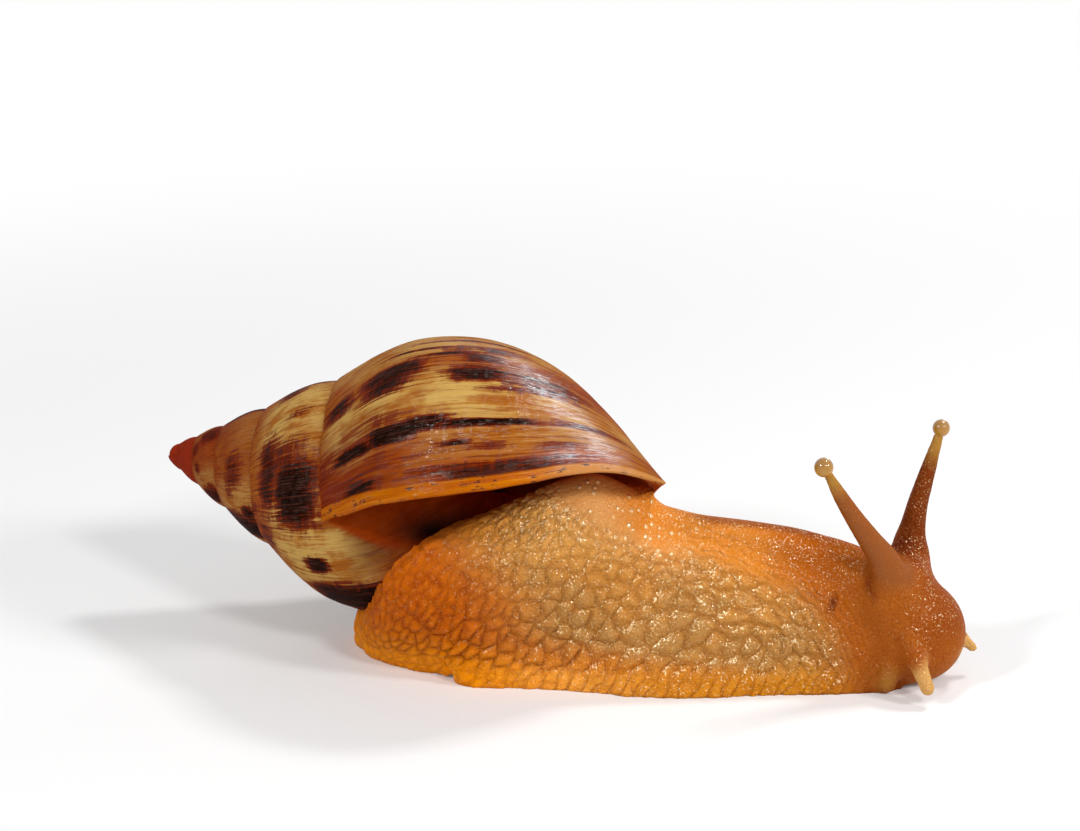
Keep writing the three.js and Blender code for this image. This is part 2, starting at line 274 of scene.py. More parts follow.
def curve_through(points, along):
    """A smooth curve through points, and its slope. along runs from 0 to 1."""
    points = np.array(points, float)
    last = len(points) - 1
    place = np.clip(along, 0, 1) * last
    i = np.minimum(place.astype(int), last - 1)
    t = (place - i)[:, None]
    start = points[i]
    end = points[i + 1]
    slope_start = (end - points[np.maximum(i - 1, 0)]) / 2
    slope_end = (points[np.minimum(i + 2, last)] - start) / 2
    cubic = 2 * (start - end) + slope_start + slope_end
    square = 3 * (end - start) - 2 * slope_start - slope_end
    slope = 3 * cubic * t ** 2 + 2 * square * t + slope_start
    return cubic * t ** 3 + square * t ** 2 + slope_start * t + start, slope


def lip_angle(along):
    """The lip's table, rounded off between its points."""
    spread = np.linspace(-0.012, 0.012, 5)
    return sum(np.interp(along + d, LIP_SHAPE[:, 0], LIP_SHAPE[:, 1]) for d in spread) / len(spread)


def whorl_point(along, growth, offset):
    """A point of the whorl: growth is the angle back from the lip, offset goes out of the surface."""
    angle = growth + lip_angle(along)
    scale = WHORL_GROWTH ** ((angle - OUTLINE_ANGLE) / 360)
    point, way = curve_through(WHORL_OUTLINE, along)
    way /= np.linalg.norm(way, axis=1, keepdims=True)
    over = np.maximum(0, (angle - OUTLINE_ANGLE) / SUTURE_SPAN)
    spire = np.maximum(0, 1 - scale)
    height = (point[:, 0] + SUTURE_DROP * over * (1 - along) ** 2) * scale
    height = height - SPIRE_STRETCH * spire - way[:, 1] * offset
    radius = np.maximum(LEAST_RADIUS, point[:, 1] * scale - SPIRE_SLIMMING * spire + way[:, 0] * offset)
    turned = np.radians(angle)
    return np.stack([radius * np.cos(turned), radius * np.sin(turned), height], axis=1)


def smooth(low, high, value):
    """0 at low, 1 at high, smooth between them and flat past them. low may be the larger one."""
    t = np.clip((value - low) / (high - low), 0, 1)
    return t * t * (3 - 2 * t)


class Grain:
    """Smooth seeded noise along a line, from -1 to 1."""

    def __init__(self, seed, step, count=4096):
        self.step = step
        self.values = np.random.default_rng(seed).uniform(-1, 1, count)

    def __call__(self, place):
        place = place / self.step + 1000.0
        i = np.floor(place).astype(int)
        t = place - i
        t = t * t * (3 - 2 * t)
        size = len(self.values)
        return self.values[i % size] * (1 - t) + self.values[(i + 1) % size] * t


growth_line = Grain(11, 1.7)
growth_thread = Grain(12, 0.75)
growth_wave = Grain(13, 9.0)
spiral_wave = Grain(14, 0.05)


def relief(along, growth):
    """Growth lines, the odd coarser step, and slow waves: how far the surface stands out."""
    lines = 0.075 * growth_line(growth + 1.5 * spiral_wave(along)) + 0.035 * growth_thread(growth)
    waves = 0.16 * growth_wave(growth + 12 * along) * smooth(0.78, 0.55, along)
    young = np.clip(WHORL_GROWTH ** (growth / 180), 0, 1) * (0.35 + 0.65 * smooth(0.85, 0.6, along))
    step = 0.35 * np.exp(-((growth + 4.9) / 0.5) ** 2)
    step = step * smooth(0.12, 0.2, along) * smooth(0.3, 0.24, along)
    return (lines + waves) * young + step


# Dark flames on the shell: angle from the lip, start and end on the outline, half width, strength.
FLAMES = [
    (-48.0, 0.02, 0.17, 3.8, 0.8), (-50.6, 0.155, 0.365, 3.4, 1.0), (-45.0, 0.17, 0.33, 4.6, 0.85),
    (-44.0, 0.38, 0.53, 3.0, 1.0), (-42.0, 0.48, 0.70, 4.2, 0.72), (-54.0, 0.415, 0.50, 2.6, 0.8),
    (-54.5, 0.50, 0.76, 6.0, 0.35), (-59.6, 0.37, 0.44, 1.3, 0.6), (-60.5, 0.455, 0.50, 1.8, 0.75),
    (-20.6, 0.095, 0.27, 2.1, 1.1), (-21.9, 0.22, 0.37, 2.3, 1.15), (-23.8, 0.30, 0.43, 2.0, 1.0),
    (-22.3, 0.36, 0.62, 1.1, 0.95), (-22.8, 0.58, 0.76, 1.2, 0.75), (-27.8, 0.19, 0.35, 2.4, 0.45),
    (-5.6, 0.15, 0.28, 1.6, 1.0), (-9.2, 0.13, 0.26, 1.9, 0.55), (-7.4, 0.31, 0.74, 1.1, 0.65),
    (-4.7, 0.39, 0.72, 1.5, 0.72), (-15.5, 0.41, 0.47, 0.8, 0.9), (-14.0, 0.48, 0.54, 1.7, 0.55),
    (-12.0, 0.59, 0.67, 1.8, 0.55), (-2.3, -0.05, 0.10, 1.0, 0.8), (-20.0, -0.05, 0.13, 4.5, 0.5),
    (-15.0, 0.24, 0.29, 4.0, 0.35), (-62.5, 0.2, 0.56, 0.8, 0.7), (-57.0, 0.27, 0.5, 0.9, 0.75),
    (-69.0, 0.25, 0.6, 1.0, 0.7), (-36.5, 0.44, 0.70, 0.7, 0.55), (-12.5, 0.30, 0.40, 1.0, 0.5),
    (-354.0, 0.18, 0.41, 13.0, 1.0), (-368.0, 0.10, 0.22, 17.0, 0.8), (-375.0, 0.10, 0.36, 8.0, 0.6),
    (-315.0, 0.315, 0.375, 3.6, 1.0), (-291.0, 0.25, 0.58, 8.0, 1.0), (-326.0, 0.02, 0.18, 9.0, 0.6),
    (-348.0, -0.05, 0.07, 6.0, 0.55), (-402.0, 0.22, 0.33, 3.0, 0.45), (-434.0, 0.12, 0.28, 7.0, 0.75),
    (-722.0, 0.14, 0.32, 12.0, 0.65), (-682.0, 0.28, 0.35, 5.0, 0.9), (-700.0, 0.17, 0.22, 5.0, 0.55),
    (-780.0, -0.05, 0.05, 6.0, 0.7), (-1112.0, 0.03, 0.17, 10.0, 0.75), (-1075.0, 0.11, 0.18, 7.0, 0.8),
    (-1093.0, 0.02, 0.08, 6.0, 0.5),
]

# Pale bands between the flames, in the same terms.
PALE_BANDS = [
    (-34.2, 0.03, 0.66, 8.5, 1.0), (-65.5, 0.1, 0.62, 6.0, 0.75), (-79.0, 0.0, 0.75, 7.0, 0.7),
    (-19.5, 0.13, 0.25, 2.8, 0.6), (-18.0, 0.36, 0.78, 4.5, 0.45),
    (-29.0, 0.55, 0.82, 7.0, 0.6), (-324.0, 0.13, 0.55, 18.0, 1.0), (-407.0, 0.06, 0.42, 19.0, 1.0),
    (-775.0, 0.18, 0.45, 26.0, 0.35), (-655.0, 0.24, 0.45, 24.0, 0.4), (-385.0, 0.28, 0.42, 8.0, 0.6),
]

# The sides turned away go on in the same manner, with seeded places and sizes.
HIDDEN_STRETCHES = ((-94, -292, 1.0), (-448, -668, 2.2), (-800, -1040, 3.0), (-1130, -1300, 3.0))
chance = np.random.default_rng(7)
for start, stop, stretch in HIDDEN_STRETCHES:
    growth = start
    while growth > stop:
        width = chance.uniform(2.2, 4.4) * stretch
        top = chance.uniform(-0.05, 0.16)
        FLAMES.append((growth, top, chance.uniform(0.34, 0.78), width, chance.uniform(0.75, 1.0)))
        FLAMES.append((growth - width, top + 0.1, chance.uniform(0.3, 0.5), width * 0.8, 0.7))
        pause = chance.uniform(13, 22) * stretch
        PALE_BANDS.append((
            growth - pause / 2 - width / 2, 0.04, 0.8, pause * 0.35, chance.uniform(0.5, 1.0),
        ))
        growth -= pause


PATCH_CORE = 0.5
PATCH_REACH = 2.4


def patches(table, along, growth):
    """The strongest patch at each place. It fades from its core out to its reach, in half widths."""
    field = np.zeros(len(along))
    for middle, start, stop, half_width, strength in table:
        near = np.abs(growth - middle) < half_width * PATCH_REACH
        side = smooth(PATCH_REACH, PATCH_CORE, np.abs(growth[near] - middle) / half_width)
        taper = min(0.10, 0.45 * (stop - start))
        top = smooth(start - 0.05, start + taper, along[near])
        bottom = smooth(stop + 0.05, stop - taper, along[near])
        field[near] = np.maximum(field[near], strength * side * (top * bottom))
    return field


def read_points(mesh, field="co"):
    """One vector for each vertex: its place, or another field such as its normal."""
    values = np.empty(len(mesh.vertices) * 3)
    mesh.vertices.foreach_get(field, values)
    return values.reshape(-1, 3)


# Columns of the sheet: how far back from the lip each one lies in degrees, and how deep in the wall.
# The spire comes first, then the last whorl up to the lip, the lip's edge, and the lining behind it.
SPIRE_TURNS = np.concatenate([np.arange(-1800, -830, 4.0), np.arange(-830, -470, 3.0), [-470.0]])
last_turn = np.concatenate([np.arange(-470, -192, 2.0), np.arange(-192, 0, 0.5)])
rim_turn = np.linspace(0, math.pi, 8)
lining_turn = np.arange(-2.0, -202, -2.5)
BODY_TURNS = np.concatenate([last_turn, 0.85 * np.sin(rim_turn), lining_turn])
BODY_DEPTHS = np.concatenate([
    np.zeros(len(last_turn)), (1 - np.cos(rim_turn)) / 2, np.ones(len(lining_turn)),
])
SPIRE_ROWS = 54
BODY_ROWS = 122
COVERED = 0.45  # a whorl of the spire shows only as far as this on its outline
NUCLEUS_RADIUS = 2.35
NUCLEUS_PLACE = 1.0
CORE_RADII = (0.25, 2.9)
CORE_LENGTH = 89
CORE_MIDDLE = 43.5

sheet = bmesh.new()
bmesh.ops.create_grid(sheet, x_segments=len(SPIRE_TURNS) - 1, y_segments=SPIRE_ROWS, size=0.5)
spire_count = len(sheet.verts)
bmesh.ops.create_grid(sheet, x_segments=len(BODY_TURNS) - 1, y_segments=BODY_ROWS, size=0.5)
sheet_count = len(sheet.verts)
bmesh.ops.create_uvsphere(
    sheet, u_segments=28, v_segments=18, radius=NUCLEUS_RADIUS,
    matrix=Matrix.Translation((0, 0, NUCLEUS_PLACE)),
)
nucleus_count = len(sheet.verts)
bmesh.ops.create_cone(
    sheet, cap_ends=True, segments=32, radius1=CORE_RADII[0], radius2=CORE_RADII[1], depth=CORE_LENGTH,
    matrix=Matrix.Translation((0, 0, CORE_MIDDLE)),
)
shell_mesh = bpy.data.meshes.new("shell_skin")
sheet.to_mesh(shell_mesh)
sheet.free()

place = read_points(shell_mesh)
column = place[:sheet_count, 0] + 0.5
row = 0.5 - place[:sheet_count, 1]
in_spire = np.arange(sheet_count) < spire_count
growth = np.where(
    in_spire,
    np.interp(column, np.linspace(0, 1, len(SPIRE_TURNS)), SPIRE_TURNS),
    np.interp(column, np.linspace(0, 1, len(BODY_TURNS)), BODY_TURNS),
)
depth = np.where(in_spire, 0.0, np.interp(column, np.linspace(0, 1, len(BODY_TURNS)), BODY_DEPTHS))
share = SPIRE_ROWS / BODY_ROWS
reach = COVERED + (1 - COVERED) * np.where(depth > 0, 1.0, smooth(-470, -425, growth))
rest = np.clip((row - share) / (1 - share), 0, 1)
in_body = np.where(row < share, row / share * COVERED, COVERED + (reach - COVERED) * rest)
along = np.where(in_spire, row * COVERED, in_body)
wall = LIP_WALL * smooth(-0.01, 0.05, along) * smooth(1.0, 0.93, along)
tuck = 0.5 * smooth(0.014, 0.0, along) * WHORL_GROWTH ** (growth / 360)
offset = relief(along, growth) * (1 - smooth(0.3, 1, depth)) - depth * wall - tuck
place[:sheet_count] = whorl_point(along, growth, offset)

turns = (
    Matrix.Rotation(math.radians(AXIS_YAW), 3, "Z")
    @ Matrix.Rotation(math.radians(90 + AXIS_DIP), 3, "Y")
    @ Matrix.Rotation(math.radians(AXIS_ROLL), 3, "Z")
)
place = place @ np.array(turns).T * MM
shell_low, shell_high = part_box("shell")
middle = (place.min(axis=0) + place.max(axis=0)) / 2
place += np.array((shell_low + shell_high) / 2) - middle
shell_mesh.vertices.foreach_set("co", place.ravel())

angle = growth + lip_angle(along)
flame = patches(FLAMES, along, growth)
pale = patches(PALE_BANDS, along, growth)
edge = smooth(-3.9, -3.2, growth + 1.2 * smooth(0.35, 0.15, along)) * smooth(-0.02, 0.01, along)
callus_line = -340.5 + 13 * smooth(0.38, 0.62, along)
callus = smooth(1.5, -1.5, angle - callus_line) * smooth(0.385, 0.40, along) * (growth < -250)
old = smooth(-820, -1500, growth)
# A near-black spot low in the aperture, under the lip's left end: painted shade.
painted_shade_gap = (place / MM - np.array([-19.5, -12.0, 30.6])) / np.array([8.0, 10.0, 4.0])
painted_aperture_shade = np.exp(-(painted_shade_gap ** 2).sum(axis=1))
inner = smooth(0.45, 0.9, depth)
outer = 1 - inner
total = len(place)


def put(mesh, name, columns):
    """Stores up to three numbers for each vertex, for a material to read."""
    values = np.zeros((len(mesh.vertices), 3), np.float32)
    for k, column_values in enumerate(columns):
        values[:len(column_values), k] = column_values
    mesh.attributes.new(name, "FLOAT_VECTOR", "POINT").data.foreach_set("vector", values.ravel())


def stored(finish, name):
    """What put() stored under a name, as one vector."""
    return finish.node("Attribute", {"attribute_name": name}, {}, "Vector")


def channels(finish, name):
    """What put() stored under a name, as three numbers."""
    parts = finish.node("SeparateXYZ", {}, {0: stored(finish, name)}).socket.node
    return [Wire(finish.tree, part) for part in parts.outputs]


def soft_spot(growth_middle, growth_size, along_middle, along_size):
    """A spot on the sheet, 1 in its middle and fading outwards."""
    return np.exp(
        -((growth - growth_middle) / growth_size) ** 2 - ((along - along_middle) / along_size) ** 2
    )


apex = np.concatenate([old, np.ones(nucleus_count - sheet_count), np.zeros(total - nucleus_count)])
hollow = np.concatenate([inner, np.zeros(nucleus_count - sheet_count), np.ones(total - nucleus_count)])
put(shell_mesh, "marks", (flame, pale, edge))
put(shell_mesh, "places", (callus, apex, hollow))
put(shell_mesh, "lines", (growth * 0.55, along * 92, offset))
# Two spots where the varnish shows bright dashes: painted highlights.
painted_glint_spots = np.maximum(0.7 * soft_spot(-22, 9, 0.46, 0.10) + 0.03, soft_spot(-46, 11, 0.57, 0.13))
# A darker patch on the older whorl below the lip: painted shadow of the lip.
painted_lip_shadow = patches([(-322.0, 0.46, 0.62, 9.0, 0.8)], along, growth)
put(shell_mesh, "painted_glints_and_shade", (painted_glint_spots, painted_aperture_shade, painted_lip_shadow))
# A band along the body whorl's shoulder and a spot low on it, where the varnish shows the white room:
# painted highlights.
ridge_angle = np.interp(along, (0.30, 0.45, 0.527, 0.70), (-72.0, -67.0, -60.0, -39.0))
gleam = np.exp(-((angle - ridge_angle) / 8.5) ** 2) * (0.35 + 0.65 * smooth(0.44, 0.53, along))
gleam = gleam * smooth(0.77, 0.69, along) * smooth(0.22, 0.40, along) * (growth > -120) * outer
low_gleam = 0.75 * soft_spot(-8, 3.6, 0.665, 0.05) * outer
blush = smooth(0.37, 0.17, along) * smooth(-40, -24, growth) * smooth(-1.8, -3.6, growth) * outer
put(shell_mesh, "gleams", (gleam, low_gleam, blush))

seam = bmesh.new()
seam.from_mesh(shell_mesh)
bmesh.ops.remove_doubles(seam, verts=seam.verts, dist=1e-6)
seam.to_mesh(shell_mesh)
seam.free()
shell_mesh.shade_smooth()
shell = bpy.data.objects.new("shell_skin", shell_mesh)
bpy.context.scene.collection.objects.link(shell)

horn = Finish("shell_horn")
flame_mark, pale_mark, edge_mark = channels(horn, "marks")
callus_mark, apex_mark, hollow_mark = channels(horn, "places")
painted_glint_mark, painted_aperture_shade_mark, painted_lip_shadow_mark = channels(horn, "painted_glints_and_shade")
gleam_mark, low_mark, blush_mark = channels(horn, "gleams")
growth_place, along_place = channels(horn, "lines")[:2]
lines = stored(horn, "lines")


def shell_noise(stretch, detail, seed):
    """Noise drawn out along the growth lines: stretch is its scale across and along them."""
    sockets = {"Vector": lines, "Scale": (*stretch, 1.0), "Location": (seed, 0, 0)}
    spread = horn.node("Mapping", {}, sockets)
    return horn.node("TexNoise", {}, {"Vector": spread, "Scale": 1.0, "Detail": detail, "Roughness": 0.6})


streak = shell_noise((1.3, 0.07), 4.0, 3.0)
hair_line = shell_noise((3.6, 0.12), 3.0, 9.0)
cloud = shell_noise((0.16, 0.09), 5.0, 17.0)
ragged = shell_noise((0.55, 0.45), 6.0, 31.0)
spiral = shell_noise((0.06, 1.3), 3.0, 47.0)
strand = shell_noise((2.3, 0.035), 3.0, 71.0)
fringe = shell_noise((0.16, 0.85), 3.0, 5.0)
dash = shell_noise((4.0, 0.55), 2.0, 13.0)

tan = horn.mix(pale_mark, rgb(144, 62, 8), rgb(190, 151, 80))
ochre = horn.fade(cloud + (streak - 0.5) * 0.5, 0.40, 0.66, tan, rgb(154, 87, 20))
brown = horn.ramp(strand + (streak - 0.5) * 1.2 + (ragged - 0.5) * 0.4, 0.46, 0.72)
brown = brown * (1 - pale_mark * 0.75) * 0.9
aged = (1 - horn.ramp(growth_place, -460.0, -330.0)) * 0.35
hairs = horn.ramp(hair_line + (spiral - 0.5) * 0.15, 0.52, 0.70) * (0.6 - pale_mark * 0.42)
reddened = blush_mark * (horn.ramp(streak + (cloud - 0.5) * 0.6, 0.38, 0.60) * 0.45 + 0.45)
burn = flame_mark * 1.05 + (streak - 0.5) * 1.2 + (strand - 0.5) * 1.0 + (hair_line - 0.5) * 0.6
burn = burn + (ragged - 0.5) * 0.6 + (fringe - 0.5) * 0.55
halo = horn.ramp(burn, 0.20, 0.56) * horn.ramp(flame_mark, 0.0, 0.3)
cored = strand + (hair_line - 0.5) * 0.7 + (ragged - 0.5) * 0.3
core = horn.fade(cored, 0.46, 0.72, rgb(16, 2, 0), rgb(68, 15, 4))
flamed = horn.ramp(burn, 0.55, 0.86) * horn.ramp(flame_mark, 0.1, 0.4)
young_lip = horn.fade(streak, 0.3, 0.7, rgb(186, 104, 1), rgb(158, 68, 0))
specks = horn.ramp(ragged + (hair_line - 0.5) * 0.6, 0.60, 0.65) * 0.95
lip_end = horn.fade(along_place, 52.0, 62.0, young_lip, rgb(184, 122, 62))
lip = horn.mix(specks, lip_end, rgb(50, 18, 4))
glaze = horn.fade(cloud, 0.3, 0.7, rgb(120, 34, 0), rgb(150, 56, 2))
worn = horn.ramp(apex_mark + (cloud - 0.5) * 0.6 + (ragged - 0.5) * 0.3, 0.15, 1.0)
# The lining's colours are painted light and shade: near-black deep in towards the suture, and lighter
# further along and towards the lip, where they lift the shell's own shadow.
far_lining_light_and_shade = horn.fade(along_place, 40.0, 50.0, rgb(58, 16, 3), rgb(216, 118, 66))
lining_light_and_shade = horn.fade(growth_place + (cloud - 0.5) * 6.0, -17.0, -5.0, far_lining_light_and_shade, rgb(176, 84, 34))
tint = horn.coats(ochre, [
    (brown, rgb(100, 28, 4)), (aged, rgb(116, 40, 8)), (hairs, rgb(96, 32, 5)),
    (reddened, rgb(108, 24, 4)), (halo, rgb(106, 30, 4)), (flamed, core), (edge_mark, lip),
    (painted_lip_shadow_mark * 0.8, rgb(80, 38, 10)), (callus_mark, glaze), (worn, rgb(138, 40, 18)),
    (hollow_mark, lining_light_and_shade), (painted_aperture_shade_mark, rgb(10, 1, 0)),
])

scored = hair_line * 0.6 + streak * 0.6 + spiral * 0.15 + ragged * 0.12
scored = scored * (1 - callus_mark * 0.8) * (1 - hollow_mark * 0.8)
relief_bump = horn.node("Bump", {}, {"Height": scored, "Strength": 0.8, "Distance": 0.24 * MM})
gloss = 0.40 + ragged * 0.22 + apex_mark * 0.12
body = horn.node("BsdfPrincipled", {}, {
    "Base Color": tint, "Roughness": gloss, "Normal": relief_bump, "IOR": 1.06,
    "Specular Tint": (1.0, 0.6, 0.3, 1.0),
})
varnish = horn.node("BsdfAnisotropic", {}, {
    "Color": (1.0, 0.90, 0.76, 1.0), "Roughness": 0.17, "Normal": relief_bump,
})
worn_off = horn.ramp(ragged + (strand - 0.5) * 0.8 + (hair_line - 0.5) * 0.8, 0.44, 0.66)
# Where the painted glint spots lie, the varnish shows the white room as bright dashes: painted highlights.
painted_glint_dashes = horn.ramp(dash + (fringe - 0.5) * 0.7 + (cloud - 0.5) * 0.3, 0.57, 0.68)
painted_glint_dashes = painted_glint_dashes * painted_glint_mark * (1 - flame_mark * 0.6)
shine = worn_off * (0.018 - flame_mark * 0.007) + painted_glint_dashes * 0.26 + 0.002
shine = shine * (1 - hollow_mark) * (1 - apex_mark * 0.7) * (1 - callus_mark * 0.8)
varnished = horn.node("MixShader", {}, {0: shine.clamp(), 1: body, 2: varnish})
sheen = horn.node("BsdfAnisotropic", {}, {
    "Color": (0.97, 0.98, 1.0, 1.0), "Roughness": 0.38, "Normal": relief_bump,
})
scratches = horn.ramp(hair_line + (dash - 0.5) * 0.9 + (ragged - 0.5) * 0.7, 0.40, 0.66) * 0.8 + 0.2
gleams = (gleam_mark * 0.28 + low_mark * 0.28).clamp() * scratches
shell_mesh.materials.append(horn.finish(horn.node("MixShader", {}, {0: gleams, 1: varnished, 2: sheen})))
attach(shell, "root")
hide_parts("shell")


# ---------------------------------------------------------------- skin
# Tail, trunk, neck and head are one wet, soft skin over muscle, with a flat creeping sole. Its sides
# carry rounded plates between furrows: large on the flank, drawn out on the tail and at the sole's
# edge, and down to fine grains on the nape. The stalks and feelers are hollow fingers of the same skin.
tail_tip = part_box("tail")[0].x / MM
FIRST_VOXEL = 0.8
VOXEL = 0.45
SHELL_CLEARANCE = 0.25
SOLE_BAND = 0.30

# The body from the tail's tip on: distance, y of the sole's middle, half width, height, y of ridge, bulge.
BODY_STATIONS = np.array([
    (0, 4.5, 2.5, 7, 2, 0.1), (2, 3.5, 5.5, 13, -5, 0.35), (5, 3, 8.0, 19.5, -12.5, 0.5),
    (8.5, 2.5, 9.5, 24.5, -15.3, 0.55), (13.5, 2, 11.2, 28.6, -15.3, 0.5), (19.5, 2, 13.5, 31, -14, 0.35),
    (24, 2, 17.0, 32.8, -12.5, 0.15), (32.5, 2, 17.9, 36, -10.5, 0.1), (40.5, 2, 17.2, 40.5, -10, 0.1),
    (48.5, 2, 17.4, 42.6, -7.5, 0.05), (54.5, 2, 18.6, 39, -4.5, 0), (60.5, 2, 18.8, 33.7, -1, 0),
    (68.5, 2, 17.9, 31.0, 1, 0), (77.5, 1.8, 16.4, 30.2, 1.5, 0), (87.5, 1.2, 13.8, 29.2, 1.5, 0),
    (97.5, 0.2, 11.0, 27.2, 0.8, 0), (104.5, -0.6, 9.0, 25, 0, 0), (111.5, -1, 5.0, 20, -1, 0),
])


def station(distance, column):
    """The body's table, rounded off between its stations."""
    spread = np.linspace(-2.0, 2.0, 5)
    reads = [np.interp(distance + d, BODY_STATIONS[:, 0], BODY_STATIONS[:, column]) for d in spread]
    return sum(reads) / len(reads)


def body_point(distance, around):
    """A point of the body's surface: around runs over the back, from one edge of the foot to the other."""
    middle, half, height, ridge, bulge = (station(distance, column) for column in range(1, 6))
    turned = np.pi * np.clip(around, 0, 1)
    rise = np.sin(turned) ** 0.91
    side = -np.sign(np.cos(turned)) * np.abs(np.cos(turned)) ** 1.25
    spread = 1 + bulge * np.sin(np.pi * rise)
    foot = 1 + 0.05 * np.exp(-rise * height / 3)
    y = middle + (ridge - middle) * rise ** 1.5 - half * side * spread * foot
    z = height * rise - 0.6 * (1 - rise)
    return np.stack([tail_tip + distance, y, z], axis=1)


def tube(name, point, columns, rows):
    """A closed skin rolled from a sheet: point gives a place from two numbers between 0 and 1."""
    roll = bmesh.new()
    bmesh.ops.create_grid(roll, x_segments=columns, y_segments=rows, size=0.5)
    made = bpy.data.meshes.new(name)
    roll.to_mesh(made)
    flat = read_points(made)
    made.vertices.foreach_set("co", point(flat[:, 0] + 0.5, flat[:, 1] + 0.5).ravel())
    roll.clear()
    roll.from_mesh(made)
    bmesh.ops.remove_doubles(roll, verts=roll.verts, dist=1e-4)
    bmesh.ops.holes_fill(roll, edges=roll.edges, sides=0)
    bmesh.ops.recalc_face_normals(roll, faces=roll.faces)
    roll.to_mesh(made)
    roll.free()
    return made


def finger(points, radii):
    """A tapering round finger along a curve, for tube()."""
    def point(along, around):
        centre = curve_through(points, along)[0]
        way = curve_through(points, along + 0.01)[0] - curve_through(points, along - 0.01)[0]
        way /= np.linalg.norm(way, axis=1, keepdims=True)
        side = np.cross((0.0, 1.0, 0.0), way)
        side /= np.linalg.norm(side, axis=1, keepdims=True)
        up = np.cross(way, side)
        radius = curve_through([(r, 0, 0) for r in radii], along)[0][:, :1]
        turned = 2 * np.pi * around[:, None]
        return centre + radius * (side * np.cos(turned) + up * np.sin(turned))
    return point


def centre_of(node):
    """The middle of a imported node's box, in millimetres."""
    low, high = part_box(node)
    return np.array((low + high) / 2) / MM


eye_right = centre_of("eye_right")
eye_left = centre_of("eye_left")
STALK_RIGHT = [
    (70.3, -5.0, 18), (68.6, -6.0, 23), (67.2, -6.5, 26.8), (65.2, -7.5, 30.2), (61.6, -9, 35.9),
    (58.6, -10.5, 41.2), (56.8, -11.5, 44.8), tuple(eye_right),
]
STALK_LEFT = [
    (72.6, 3.5, 18), (72.6, 4.4, 22.5), (72.4, 5, 26), (72.8, 5.5, 29.1), (73.6, 6.5, 33.7),
    (75.1, 7.5, 39.6), (76.7, 8.6, 45.6), tuple(eye_left),
]
FEELER_RIGHT = [(72.2, -8.0, 13.8), (73.2, -10.6, 11.2), (75.1, -13.2, 7.4), (76.8, -14.5, 3.7)]
FEELER_LEFT = [(79.5, 0.5, 10.5), (82.6, 1.2, 8.3), (84.2, 1.5, 6.9), (85.5, 1.8, 5.5)]
FINGERS = [
    (STALK_RIGHT, (4.8, 3.9, 3.1, 2.45, 1.9, 1.5, 1.1, 1.0)),
    (STALK_LEFT, (4.6, 4.0, 3.4, 2.6, 2.1, 1.7, 1.2, 1.0)),
    (FEELER_RIGHT, (2.6, 2.4, 1.75, 1.45)),
    (FEELER_LEFT, (2.0, 1.6, 1.2, 1.05)),
]

# Rounded masses of the head: centre, radii, and how far it is turned and tipped in degrees.
MASSES = [
    ((73.2, -1.4, 10.3), (11.0, 10.2, 10.4), -33, 12), ((69.3, -1.0, 16.8), (8.8, 9.3, 9.1), -33, 20),
    ((69.1, -10.2, 3.5), (2.1, 1.8, 3.2), -33, 0), ((80.3, 4.8, 3.5), (2.1, 1.8, 3.2), -33, 0),
    (FEELER_RIGHT[-1], (1.6, 1.6, 1.6), 0, 0), (FEELER_LEFT[-1], (1.15, 1.15, 1.15), 0, 0),
]

length = BODY_STATIONS[-1, 0]
lump = bmesh.new()
lump.from_mesh(tube("body", lambda along, around: body_point(along * length, around), 120, 90))
for points, radii in FINGERS:
    lump.from_mesh(tube("finger", finger(points, radii), 40, 28))
for place_mm, radii, yaw, pitch in MASSES:
    bmesh.ops.create_icosphere(
        lump, subdivisions=4, radius=1.0,
        matrix=Matrix.Translation(place_mm) @ Matrix.Rotation(math.radians(yaw), 4, "Z")
        @ Matrix.Rotation(math.radians(pitch), 4, "Y") @ Matrix.Diagonal((*radii, 1.0)),
    )
bmesh.ops.scale(lump, vec=(MM, MM, MM), verts=lump.verts)
skin_mesh = bpy.data.meshes.new("skin")
lump.to_mesh(skin_mesh)
lump.free()
skin = bpy.data.objects.new("skin", skin_mesh)
bpy.context.scene.collection.objects.link(skin)


def shaped(thing, kind, **settings):
    """Gives the thing one modifier's result as its new mesh."""
    modifier = thing.modifiers.new(kind.lower(), kind)
    for name, value in settings.items():
        setattr(modifier, name, value)
    ready = thing.evaluated_get(bpy.context.evaluated_depsgraph_get())
    made = bpy.data.meshes.new_from_object(ready)
    thing.modifiers.clear()
    thing.data = made


def relax(mesh, rounds, weight, hollows_only=False):
    """Smooths a mesh: each point goes towards the middle of its neighbours, or only ever outwards."""
    points = read_points(mesh)
    edges = np.empty(len(mesh.edges) * 2, int)
    mesh.edges.foreach_get("vertices", edges)
    first, second = edges.reshape(-1, 2).T
    size = len(points)
    count = np.bincount(first, minlength=size) + np.bincount(second, minlength=size)
    for _ in range(rounds):
        sums = [
            np.bincount(first, points[second, k], size) + np.bincount(second, points[first, k], size)
            for k in range(3)
        ]
        pull = np.stack(sums, axis=1) / np.maximum(count, 1)[:, None] - points
        if hollows_only:
            mesh.vertices.foreach_set("co", points.ravel())
            mesh.update()
            outward = read_points(mesh, "normal")
            pull = outward * np.maximum(0, (pull * outward).sum(axis=1))[:, None]
        points += pull * weight[:, None]
    mesh.vertices.foreach_set("co", points.ravel())
    mesh.update()


shaped(skin, "REMESH", mode="VOXEL", voxel_size=FIRST_VOXEL * MM)
points = read_points(skin.data)
filling = smooth(48 * MM, 62 * MM, points[:, 0]) * (0.15 + 0.75 * smooth(13 * MM, 19 * MM, points[:, 2]))
relax(skin.data, 30, filling, hollows_only=True)

